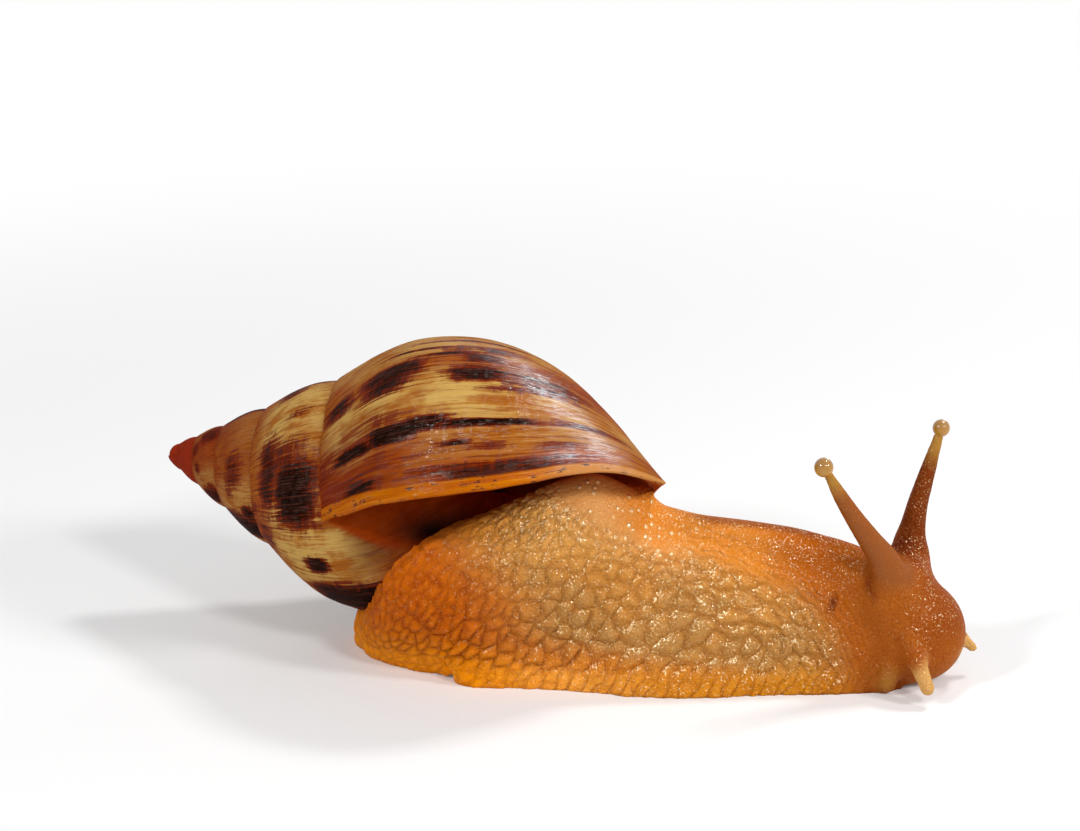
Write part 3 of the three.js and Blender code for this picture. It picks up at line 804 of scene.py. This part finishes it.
# The shell's room is cut out of the flesh, from a merged copy of the shell's solid.
room = bmesh.new()
room.from_mesh(frame["nodes"]["shell"].data)
bmesh.ops.remove_doubles(room, verts=room.verts, dist=1e-7)
room_mesh = bpy.data.meshes.new("shell_room")
room.to_mesh(room_mesh)
room.free()
cutter = bpy.data.objects.new("shell_room", room_mesh)
bpy.context.scene.collection.objects.link(cutter)
shaped(skin, "BOOLEAN", operation="DIFFERENCE", solver="EXACT", object=cutter)
bpy.data.objects.remove(cutter)
trim = bmesh.new()
trim.from_mesh(skin.data)
bmesh.ops.bisect_plane(
    trim, geom=trim.verts[:] + trim.edges[:] + trim.faces[:],
    plane_co=(0, 0, -0.1 * MM), plane_no=(0, 0, -1), clear_outer=True,
)
bmesh.ops.holes_fill(trim, edges=[edge for edge in trim.edges if edge.is_boundary], sides=0)
trim.to_mesh(skin.data)
trim.free()
shaped(skin, "REMESH", mode="VOXEL", voxel_size=VOXEL * MM)

# Only the flesh itself stays, without chips that the cut left inside the shell.
whole = bmesh.new()
whole.from_mesh(skin.data)
whole.verts.ensure_lookup_table()
unseen = set(whole.verts)
islands = []
while unseen:
    island = [unseen.pop()]
    for vert in island:
        for edge in vert.link_edges:
            other = edge.other_vert(vert)
            if other in unseen:
                unseen.remove(other)
                island.append(other)
    islands.append(island)
islands.sort(key=len)
for island in islands[:-1]:
    bmesh.ops.delete(whole, geom=island, context="VERTS")
whole.to_mesh(skin.data)
whole.free()
skin_mesh = skin.data
relax(skin_mesh, 3, np.full(len(skin_mesh.vertices), 0.5))
points = read_points(skin_mesh) / MM
outward = read_points(skin_mesh, "normal")
x, y, z = points.T

# Plates of the skin: x, z, size, how drawn out, lean in degrees, height. They blend between these places.
PLATE_BLEND = 4.0
PLATE_SPACING = 0.80
PLATE_TRIES = 16000
PLATE_WAVE = 0.16
BATCH = 4000
PLATES = np.array([
    (-34, 4, 2.3, 1.8, 62, 0.24), (-28, 12, 2.6, 2.6, 62, 0.24), (-20, 8, 2.9, 2.4, 58, 0.42),
    (-17, 19, 2.6, 2.6, 62, 0.27), (-20, 26, 2.3, 2.2, 64, 0.17), (-8, 9, 3.3, 1.9, 58, 0.65),
    (-5, 22, 2.9, 1.7, 58, 0.42), (-3, 31, 2.2, 1.6, 56, 0.32), (8, 9, 3.8, 1.6, 56, 0.70),
    (10, 20, 3.8, 1.3, 48, 0.52), (12, 28, 2.6, 1.2, 40, 0.36), (14, 40, 2.0, 1.0, 0, 0.03),
    (25, 9, 4.8, 1.35, 42, 0.75), (25, 18, 4.6, 1.25, 36, 0.55), (28, 25, 2.8, 1.2, 15, 0.30),
    (28, 33, 2.0, 1.0, 0, 0.02), (2, 36, 2.0, 1.5, 52, 0.26), (10, 33, 2.1, 1.2, 46, 0.24),
    (-12, 30, 2.2, 2.1, 60, 0.16), (19, 26, 2.8, 1.2, 34, 0.38), (22, 34, 2.0, 1.0, 0, 0.02),
    (38, 8, 4.6, 1.3, 55, 0.65), (40, 16, 4.6, 1.3, 10, 0.60), (42, 22, 2.6, 1.7, -20, 0.28),
    (42, 29, 2.0, 1.0, 0, 0.0), (49, 7, 3.1, 1.4, 80, 0.50), (50, 14, 3.0, 1.7, -45, 0.45),
    (52, 20, 2.0, 2.3, -38, 0.16), (52, 27, 2.0, 1.0, 0, 0.0), (57, 6, 2.4, 1.5, 88, 0.40),
    (58, 12, 2.3, 2.2, -61, 0.26), (60, 18, 2.0, 2.5, -50, 0.05), (64, 8, 2.0, 2.0, -82, 0.14),
    (67, 15, 2.0, 1.5, -60, 0.02), (75, 8, 2.0, 1.0, 0, 0.02), (74, 20, 2.0, 1.0, 0, 0.0),
    (68, 34, 2.0, 1.0, 0, 0.0), (-22, 0, 2.2, 1.5, 40, 0.25), (-6, 0, 2.6, 1.4, 50, 0.30),
    (8, 0, 2.5, 1.8, 60, 0.32), (20, 0, 2.4, 2.2, 64, 0.34), (32, 0, 2.4, 2.2, 66, 0.34),
    (45, 0, 2.3, 2.0, 76, 0.30), (57, 0, 2.2, 1.8, 88, 0.24),
])
plate_gaps = (x[:, None] - PLATES[:, 0]) ** 2 + (z[:, None] - PLATES[:, 1]) ** 2
spans = np.exp(-plate_gaps / (2 * PLATE_BLEND ** 2)) + 1e-9
spans /= spans.sum(axis=1, keepdims=True)
plate_size, plate_stretch, plate_height = (spans @ PLATES[:, column] for column in (2, 3, 5))
doubled = np.radians(2 * PLATES[:, 4])
lean = np.arctan2(spans @ np.sin(doubled), spans @ np.cos(doubled)) / 2
grain_way = np.stack([np.cos(lean), np.zeros(len(lean)), np.sin(lean)], axis=1)
grain_way -= outward * (grain_way * outward).sum(axis=1, keepdims=True)
grain_way /= np.maximum(np.linalg.norm(grain_way, axis=1, keepdims=True), 1e-6)


def apart(own, way, stretch, others):
    """Squared distances from points to seeds, shorter along each point's own drawn-out direction."""
    plain = (own ** 2).sum(axis=1)[:, None] + (others ** 2).sum(axis=1) - 2 * own @ others.T
    along_way = (own * way).sum(axis=1)[:, None] - way @ others.T
    return plain * stretch[:, None] - along_way ** 2 * (stretch - 1 / stretch)[:, None]


dice = np.random.default_rng(21)
waves = dice.normal(0, 0.75, (3, 7, 3))
phases = dice.uniform(0, 2 * np.pi, (3, 7))
straight = points.copy()
for axis in range(3):
    for wave, phase in zip(waves[axis], phases[axis]):
        points[:, axis] += PLATE_WAVE * np.sin(straight @ wave + phase)
tries = dice.permutation(len(points))[:PLATE_TRIES]
seeds = points[tries[:1]]
for index in tries[1:]:
    one = slice(index, index + 1)
    gaps = apart(points[one], grain_way[one], plate_stretch[one], seeds)
    if gaps.min() > (PLATE_SPACING * plate_size[index]) ** 2:
        seeds = np.vstack([seeds, points[one]])

rim = np.zeros(len(points))
nearest = np.zeros(len(points), int)
for start in range(0, len(points), BATCH):
    part = slice(start, start + BATCH)
    reach = apart(points[part], grain_way[part], plate_stretch[part], seeds)
    rows = np.arange(len(reach))
    closest = reach.argmin(axis=1)
    first = reach[rows, closest].copy()
    reach[rows, closest] = 1e9
    other = reach.argmin(axis=1)
    second = reach[rows, other]
    gap = seeds[closest] - seeds[other]
    gap_way = (gap * grain_way[part]).sum(axis=1)
    s = plate_stretch[part]
    between = np.sqrt(np.maximum((gap ** 2).sum(axis=1) * s - gap_way ** 2 * (s - 1 / s), 1e-6))
    rim[part] = (second - first) / (2 * between)
    nearest[part] = closest
points = straight
bulge = np.clip(rim / (0.46 * plate_size), 0, 1)
plate = 0.7 * bulge * (2 - bulge) + 0.3 * bulge ** 2 * (3 - 2 * bulge)
plate_chance = dice.uniform(0, 1, len(seeds))[nearest]
distance = x - tail_tip
on_body = smooth(66, 60, x)
middle_y = np.interp(distance, BODY_STATIONS[:, 0], BODY_STATIONS[:, 1])
right_side = y < middle_y

# Along the foot's edge a hem runs, parted from the side by a furrow and cut into short leaning ribs.
edge_steps = np.hypot(np.diff(BODY_STATIONS[:, 0], prepend=0), np.diff(BODY_STATIONS[:, 2], prepend=0))
run = np.interp(distance, BODY_STATIONS[:, 0], np.cumsum(edge_steps))
hem_wave = Grain(31, 9.0)
hem_height = 4.4 + 0.7 * hem_wave(run + 40 * right_side) - 1.2 * smooth(14, 4, distance)
hem_height = hem_height + 0.8 * smooth(40, 60, x)
hem = smooth(hem_height + 0.5, hem_height - 0.5, z) * on_body
rib_jitter = Grain(32, 2.2)
hem_rise = 0.25 * np.sin(np.pi * np.clip(z / np.maximum(hem_height, 1), 0, 1))
ragged_edge = Grain(34, 2.9)
scallop = 0.40 * ragged_edge(run + 70 * right_side) * smooth(3.0, 0.0, z)

# Loose folds of the side, and creases that run round behind the head.
fold_wave = Grain(33, 7.0)
loose = 0.30 * fold_wave(x * 0.8 - z * 0.9 + 60 * right_side)
loose = loose * smooth(3, 8, z) * smooth(26, 18, z) * smooth(58, 48, x)
crease_place = np.hypot(x - 36, z + 1) + 0.45 * rib_jitter(np.arctan2(z, x - 36) * 22)
crease_part = smooth(19.0, 22.0, crease_place) * smooth(35, 29, crease_place) * smooth(0.5, 3, z)
crease_part = crease_part * smooth(44, 50, x) * on_body * smooth(24, 19, z) * right_side

# The nape lies above this line on the side, x against z. The plates end there, and at the head.
NAPE_X = (3, 9, 13, 18, 24.4, 37.5, 50.8, 57.6, 61.6, 64)
NAPE_Z = (42, 38, 35.5, 32.8, 28.8, 24.8, 20.1, 15, 9.8, 4)
above_nape = z - np.interp(x, NAPE_X, NAPE_Z)
nape = smooth(-4.0, 3.0, above_nape) * smooth(12, 22, x)
headward = x + 0.15 * (z - 12) * (z > 12)
head = smooth(52, 67, headward)
plate_height = plate_height * (1 - 0.95 * smooth(-2.5, 2.0, above_nape)) * smooth(65, 57, headward)

# The foot's edge overlaps itself on the right side, behind the middle: the front part stands out.
lap = np.clip((x + 15.8 + 0.45 * (z - 3)) / 1.2, -1, 1)
lap_part = smooth(6.0, 3.0, z) * right_side
lap_furrow = np.exp(-((x + 16.9 + 0.45 * (z - 3)) / 0.5) ** 2)
lapped = lap_part * (0.75 * lap * smooth(9.0, 2.0, np.abs(x + 15.8)) - 0.6 * lap_furrow)

# The small opening on the right of the neck, and how far each point stands out in the end.
pore = np.exp(-(((x - 57.9) / 1.0) ** 2 + ((z - 17.4) / 1.25) ** 2)) * right_side
swell = (1.65 + 0.2 * smooth(34, 48, x)) * plate_height * (plate * (0.7 + 0.6 * plate_chance) - 0.66)
lift = (
    swell * (1 - 0.65 * hem)
    + hem * (hem_rise + scallop) + lapped
    + loose * (1 - hem) - 0.8 * pore
)
points += outward * lift[:, None]

# It keeps a hair's breadth clear of the shell, and lies flat on the ground.
wall_tree = BVHTree.FromPolygons(
    [tuple(co) for co in read_points(shell_mesh)], [tuple(face.vertices) for face in shell_mesh.polygons],
)
shell_reach = np.flatnonzero((points[:, 0] < shell_high.x / MM + 2) & (points[:, 2] > shell_low.z / MM - 2))
for index in shell_reach:
    spot = Vector(points[index]) * MM
    found, normal, _, gap = wall_tree.find_nearest(spot, 3 * MM)
    if found is not None and (spot - found).dot(normal) < SHELL_CLEARANCE * MM:
        points[index] = (found + normal * SHELL_CLEARANCE * MM) / MM
sole_part = points[:, 2] < SOLE_BAND
points[sole_part, 2] = 0.0
points[:, 2] = np.maximum(points[:, 2], 0.0)
skin_mesh.vertices.foreach_set("co", (points * MM).ravel())
skin_mesh.update()


def soft_ball(centre, size):
    """A soft part of the flesh: 1 at its centre, and fading over its size along x, y and z."""
    gaps = (((own - middle) / reach) ** 2 for own, middle, reach in zip((x, y, z), centre, size))
    return np.exp(-sum(gaps))


# Where each kind of skin lies, for the material.
stalk_spots = curve_through(STALK_RIGHT[1:], np.linspace(0, 1, 60))[0]
stalk_gap = np.min([np.linalg.norm(points - spot, axis=1) for spot in stalk_spots], axis=0)
near_stalk = smooth(6.2, 4.2, stalk_gap) * smooth(21, 25, z + 0.2 * (x - 66))
far_stalk = smooth(24, 30, z + 0.5 * (x - 74)) * (y > 0) * (x > 66)
# A darker streak in the crease at the near stalk's base: painted shade.
painted_stalk_shade = 1.5 * soft_ball((65.0, -9.5, 24.0), (1.2, 2.5, 3.2)) * (1 - near_stalk)
far_base = soft_ball((70.5, 1.5, 26), (4.5, 4.0, 3.5)) * (1 - near_stalk)
fingers = smooth(9.5, 4.0, z + 0.9 * (74 - x)) * smooth(-11.5, -13.0, y) * (x > 72)
fingers = np.maximum(fingers, smooth(81.5, 84.5, x) * smooth(9, 7.5, z))
lobes = soft_ball((69.0, -11.2, 3.0), (2.0, 1.8, 3.0))
near_tip = smooth(8.5, 3.0, np.linalg.norm(points - eye_right, axis=1))
far_tip = smooth(9.0, 3.0, np.linalg.norm(points - eye_left, axis=1))
tip = np.maximum(near_tip, far_tip)
tail = smooth(10, -14, x + 0.15 * (z - 10) + 0.7 * np.maximum(z - 19, 0))
# The skin along the top of the nape, where it faces up, is painted darker: painted shade at the ridge.
painted_ridge_shade = nape * smooth(0.88, 0.985, outward[:, 2]) * smooth(22, 36, x)
low_flank = smooth(16, 7, z + 0.18 * (x + 5)) * (1 - tail)
shoulder = smooth(-7, 1, above_nape) * smooth(36, 25, x) * smooth(0, 8, x)
put(skin_mesh, "zones", (tail, nape, head))
put(skin_mesh, "bands", (hem, shoulder, np.clip(pore + 0.9 * far_base + painted_stalk_shade, 0, 1)))
put(skin_mesh, "stalks", (near_stalk, far_stalk, np.maximum(tip, lobes * 0.8)))
foot_edge = smooth(hem_height + 3.5 + 7.0 * tail, hem_height - 3.0, z) * smooth(72, 56, x)
put(skin_mesh, "ridge_shade_and_tones", (painted_ridge_shade, low_flank, foot_edge))
nape_part = smooth(-3.0, -0.5, above_nape) * smooth(6.0, 2.0, above_nape)
nape_part = nape_part * smooth(22, 36, x) * smooth(61, 56, x)
# Where the skin faces the lamps, for the painted glints.
facing = read_points(skin_mesh, "normal")
lit = smooth(0.86, 0.99, facing @ np.array([-0.28, -0.70, 0.66]))
lit = lit * (1 - 0.7 * smooth(10, -8, x) * smooth(10, 18, z))
upper_lit = smooth(0.0, 0.85, facing @ np.array([0.25, -0.22, 0.94]))
fine = np.clip(nape + head + far_stalk, 0, 1)
lit = lit * (1 - fine) + upper_lit * fine
# High on the flank, under the shell's lip, the skin is painted lighter and yellower, with softer furrows
# and a few more glints: painted light that lifts the lip's shadow.
lip_shadow_lift = smooth(23, 36, z) * smooth(32, 14, x) * smooth(-24, -9, x)
put(skin_mesh, "creases_and_lamp_facing", (above_nape + 0.3 * rib_jitter(x), nape_part * right_side, lit))
put(skin_mesh, "furrows", (rim, plate_height))
put(skin_mesh, "folds", (crease_place, crease_part, run - 0.466 * z + 0.5 * rib_jitter(run)))
front = smooth(70, 80, x) * smooth(8, 15, z)
put(skin_mesh, "limbs", (fingers, lip_shadow_lift, front))

# The sole is one flat face.
sole_faces = bmesh.new()
sole_faces.from_mesh(skin_mesh)
flat_faces = [face for face in sole_faces.faces if all(vert.co.z < 1e-7 for vert in face.verts)]
bmesh.ops.delete(sole_faces, geom=flat_faces, context="FACES")
bmesh.ops.holes_fill(sole_faces, edges=[edge for edge in sole_faces.edges if edge.is_boundary], sides=0)
bmesh.ops.recalc_face_normals(sole_faces, faces=sole_faces.faces)
sole_faces.to_mesh(skin_mesh)
sole_faces.free()
skin_mesh.shade_smooth()

wet = Finish("skin_wet")
tail_zone, nape_zone, head_zone = channels(wet, "zones")
hem_zone, shoulder_zone, dark_and_shade_zone = channels(wet, "bands")
near_zone, far_zone, tip_zone = channels(wet, "stalks")
furrow_gap, plate_zone = channels(wet, "furrows")[:2]
fold_place, fold_zone, rib_place = channels(wet, "folds")
nape_place, crease_zone, lamp_facing_zone = channels(wet, "creases_and_lamp_facing")
finger_zone, painted_lip_shadow_light, front_zone = channels(wet, "limbs")
painted_ridge_shade_zone, low_zone, edge_zone = channels(wet, "ridge_shade_and_tones")
where = wet.node("TexCoord", {}, {}, "Object")


def skin_noise(scale, detail, roughness=0.55):
    """Noise with this many waves in a millimetre."""
    sockets = {"Vector": where, "Scale": scale / MM, "Detail": detail, "Roughness": roughness}
    return wet.node("TexNoise", {}, sockets)


def skin_cells(scale, randomness):
    """The distance from the middle of small cells, with this many of them in a millimetre."""
    sockets = {"Vector": where, "Scale": scale / MM, "Randomness": randomness}
    return wet.node("TexVoronoi", {"feature": "F1"}, sockets, "Distance")


broad = skin_noise(0.06, 3.0)
mottle = skin_noise(0.45, 3.0)
speck = skin_noise(2.6, 2.0, 0.7)
pad_noise = skin_noise(2.1, 2.0, 0.6)
lumps = skin_cells(0.68, 0.9)
grains = skin_cells(1.6, 0.85)
beads = skin_cells(0.55, 1.0)

flank = wet.fade(broad + (mottle - 0.5) * 0.3, 0.42, 0.62, rgb(192, 130, 58), rgb(174, 124, 64))
forward = wet.node("SeparateXYZ", {}, {0: where}) / MM
# Painted light under the shell's lip: a lighter tint.
painted_lift_tint = wet.fade(forward, -16.0, 4.0, rgb(230, 146, 30), rgb(228, 166, 84))
tail_tint = wet.fade(mottle, 0.35, 0.7, rgb(194, 97, 5), rgb(174, 77, 2))
hem_tint = wet.fade(forward, 2.0, 34.0, rgb(246, 164, 60), rgb(206, 130, 22))
edge_tint = wet.mix(tail_zone, hem_tint, rgb(238, 144, 2))
nape_tint = wet.fade(forward + (broad - 0.5) * 30.0, 34.0, 56.0, rgb(212, 126, 36), rgb(172, 84, 4))
head_tint = wet.fade(broad + (mottle - 0.5) * 0.4, 0.4, 0.62, rgb(158, 82, 20), rgb(148, 68, 9))
bare = wet.coats(flank, [
    (low_zone * 0.9, rgb(208, 114, 14)), (painted_lip_shadow_light * 0.85, painted_lift_tint), (tail_zone, tail_tint),
    (edge_zone, edge_tint), (shoulder_zone, rgb(214, 150, 84)), (nape_zone, nape_tint),
    (painted_ridge_shade_zone * 0.85, rgb(136, 64, 20)), (head_zone, head_tint), (front_zone * 0.8, rgb(132, 58, 8)),
    (near_zone, rgb(136, 70, 20)), (far_zone, rgb(116, 50, 10)), (tip_zone, rgb(160, 112, 40)),
    (finger_zone, rgb(202, 152, 88)), (dark_and_shade_zone, rgb(92, 24, 4)),
])

# Creases and ribs are waves across a stored distance, a little crooked: their spacing is in millimetres.
CREASE_SPACING = 1.3
NAPE_SPACING = 1.25
RIB_SPACING = 2.7
fold = ((fold_place + (mottle - 0.5) * 0.9) * (2 * math.pi / CREASE_SPACING)).math("SINE")
broken = 0.35 + wet.ramp(mottle + (broad - 0.5) * 0.8, 0.38, 0.58) * 0.65
# Furrows: a narrow dark line of the skin's own, and a wider darkening into each valley, which is painted
# shade that rounds the plates.
narrow = (1 - wet.ramp(furrow_gap, 0.0, 0.34)) * (0.30 + tail_zone * 0.12)
painted_valley_shade = (1 - wet.ramp(furrow_gap, 0.0, 1.4)) * (0.42 + tail_zone * 0.05)
furrow_and_valley_shade = (narrow * broken + painted_valley_shade) * wet.ramp(plate_zone, 0.05, 0.30)
furrow_and_valley_shade = furrow_and_valley_shade * (1 - hem_zone * 0.45) * (1 - painted_lip_shadow_light * 0.22)
flank_line = wet.mix(low_zone, rgb(150, 90, 26), rgb(150, 66, 6))
furrow_and_shade_tint = wet.mix(tail_zone, wet.mix(head_zone, flank_line, rgb(130, 52, 6)), rgb(132, 50, 2))
crease = (1 - wet.ramp(fold, -1.0, 0.1)) * fold_zone
nape_fold = ((nape_place + (mottle - 0.5) * 0.9) * (2 * math.pi / NAPE_SPACING)).math("SINE")
nape_crease = (1 - wet.ramp(nape_fold, -1.0, -0.1)) * crease_zone * broken
rib = ((rib_place + (mottle - 0.5) * 1.2) * (2 * math.pi / RIB_SPACING)).math("SINE")
rib_line = wet.ramp(rib, 0.72, 0.97) * edge_zone * (1 - tail_zone * 0.5)
crease_line = (crease * 0.50).math("MAXIMUM", nape_crease * 0.50).math("MAXIMUM", rib_line * 0.5)
thread = 1 - wet.ramp((furrow_gap - 0.40).math("ABSOLUTE"), 0.03, 0.08)
thread = thread * wet.ramp(broad + (mottle - 0.5) * 0.9, 0.60, 0.64) * wet.ramp(plate_zone, 0.3, 0.5)
thread = thread * (1 - tail_zone) * (1 - low_zone) * 0.4

# Small domes and beads stand on the skin, and pale dots are painted glints, set where the skin faces the
# lamps; the same dots carry the wet reflection. Stalks and tips are calmer.
calm = near_zone.math("MAXIMUM", tip_zone)
plated = wet.ramp(plate_zone, 0.07, 0.30)
beaded = (1 - wet.ramp(beads, 0.10, 0.32)) * shoulder_zone * (1 - calm)
rough_skin = shoulder_zone * 0.6 + nape_zone * 0.9 + head_zone * 0.8 + far_zone * 0.8 + plated * 0.9
rough_skin = (rough_skin + 0.12).math("MINIMUM", 1.0)
granular = rough_skin * (1 - shoulder_zone * 0.35) * (1 - tail_zone * 0.55) * (1 - calm * 0.8)
domes = 1 - (grains * 1.6) ** 2.0
cluster = (mottle - 0.5) * 0.22 + (broad - 0.5) * 0.15
fine_dots = wet.ramp(speck + cluster + lamp_facing_zone * 0.10, 0.70, 0.77)
pad_dots = wet.ramp(pad_noise + (mottle - 0.5) * 0.14 + lamp_facing_zone * 0.13 + painted_lip_shadow_light * 0.03, 0.61, 0.70)
fine_zone = (nape_zone * 0.9 + head_zone * 0.5 + far_zone + shoulder_zone).math("MINIMUM", 1.0)
fine_part = fine_dots * (fine_zone * (1 - calm) * (1 - tail_zone))
pad_part = pad_dots * plated * (1 - nape_zone) * (1 - tail_zone * 0.78)
glint_dots = (fine_part + pad_part).math("MINIMUM", 1.0)
painted_glint_dots = (fine_part * 0.42).math("MAXIMUM", pad_part * 0.55).math("MAXIMUM", beaded * 0.7)
tint = wet.coats(bare, [
    (furrow_and_valley_shade.math("MAXIMUM", crease_line), furrow_and_shade_tint), (thread, rgb(232, 186, 116)),
    (wet.ramp(speck, 0.56, 0.75) * 0.20, rgb(220, 160, 80)), (painted_glint_dots, rgb(252, 216, 150)),
])
pads = 1 - (lumps * 1.3) ** 2.0
surface = pads * plated * 0.13 + domes * granular * 0.10 + beaded * 0.22 + fold * fold_zone * 0.07
surface = surface + mottle * 0.15 + nape_fold * crease_zone * 0.06 - rib_line * 0.20
bump = wet.node("Bump", {}, {"Height": surface + speck * 0.03, "Strength": 1.0, "Distance": 1.0 * MM})
body = wet.node("BsdfPrincipled", {}, {
    "Base Color": tint, "Roughness": 0.50, "Normal": bump, "IOR": 1.12,
    "Specular Tint": (1.0, 0.65, 0.35, 1.0), "Subsurface Weight": 0.15,
    "Subsurface Radius": (1.0, 0.42, 0.16), "Subsurface Scale": 1.0 * MM,
})
slime = wet.node("BsdfAnisotropic", {}, {
    "Color": (1.0, 0.86, 0.66, 1.0), "Roughness": 0.18, "Normal": bump,
})
film = granular * (1 - tail_zone * 0.5) * (1 - head_zone * 0.6)
film = film * (0.25 + wet.ramp(mottle + (speck - 0.5) * 0.6, 0.34, 0.54) * 0.75)
glint = film * (1 - wet.ramp(grains, 0.40, 0.62) * 0.7) * 0.018
glint = glint + glint_dots * 0.21 + beaded * 0.30 + 0.001 + calm * 0.02
skin_mesh.materials.append(wet.finish(wet.node("MixShader", {}, {0: glint, 1: body, 2: slime})))
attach(skin, "root")
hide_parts("tail", "trunk", "neck", "head", "stalk_right", "stalk_left", "feeler_right", "feeler_left")


# ---------------------------------------------------------------- eyes
# A round bulb sits on the end of each eye stalk: clear, yellowish skin over the small eye itself. It is
# a smooth ball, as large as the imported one, and grows out of the stalk's skin.
for side in ("right", "left"):
    node = "eye_" + side
    ball = bmesh.new()
    bmesh.ops.create_icosphere(ball, subdivisions=5, radius=1.0)
    low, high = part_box(node)
    half = (high - low) / 2
    bmesh.ops.scale(ball, vec=half, verts=ball.verts)
    bmesh.ops.translate(ball, vec=(low + high) / 2, verts=ball.verts)
    ball_mesh = bpy.data.meshes.new(node + "_bulb")
    ball.to_mesh(ball_mesh)
    ball.free()
    ball_mesh.shade_smooth()
    bulb = bpy.data.objects.new(node + "_bulb", ball_mesh)
    bpy.context.scene.collection.objects.link(bulb)
    clear = Finish(node + "_skin")
    where = clear.node("TexCoord", {}, {}, "Object")
    centre = tuple((low + high) / 2)
    away = clear.node("VectorMath", {"operation": "SUBTRACT"}, {0: where, 1: centre})
    upness = clear.node("SeparateXYZ", {}, {0: away}, 2) / half.z
    cloudy = clear.node("TexNoise", {}, {"Vector": where, "Scale": 0.8 / MM, "Detail": 2.0})
    clouded = upness + (cloudy - 0.5) * 0.6
    skin_tint = clear.fade(clouded, -0.4, 0.9, rgb(172, 123, 34), rgb(150, 104, 30))
    ball_mesh.materials.append(clear.finish(clear.node("BsdfPrincipled", {}, {
        "Base Color": skin_tint, "Roughness": 0.16, "IOR": 1.42, "Subsurface Weight": 0.35,
        "Subsurface Radius": (1.0, 0.6, 0.25), "Subsurface Scale": 1.0 * MM,
        "Coat Weight": 0.6, "Coat Roughness": 0.05,
    })))
    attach(bulb, "root")
    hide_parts(node)
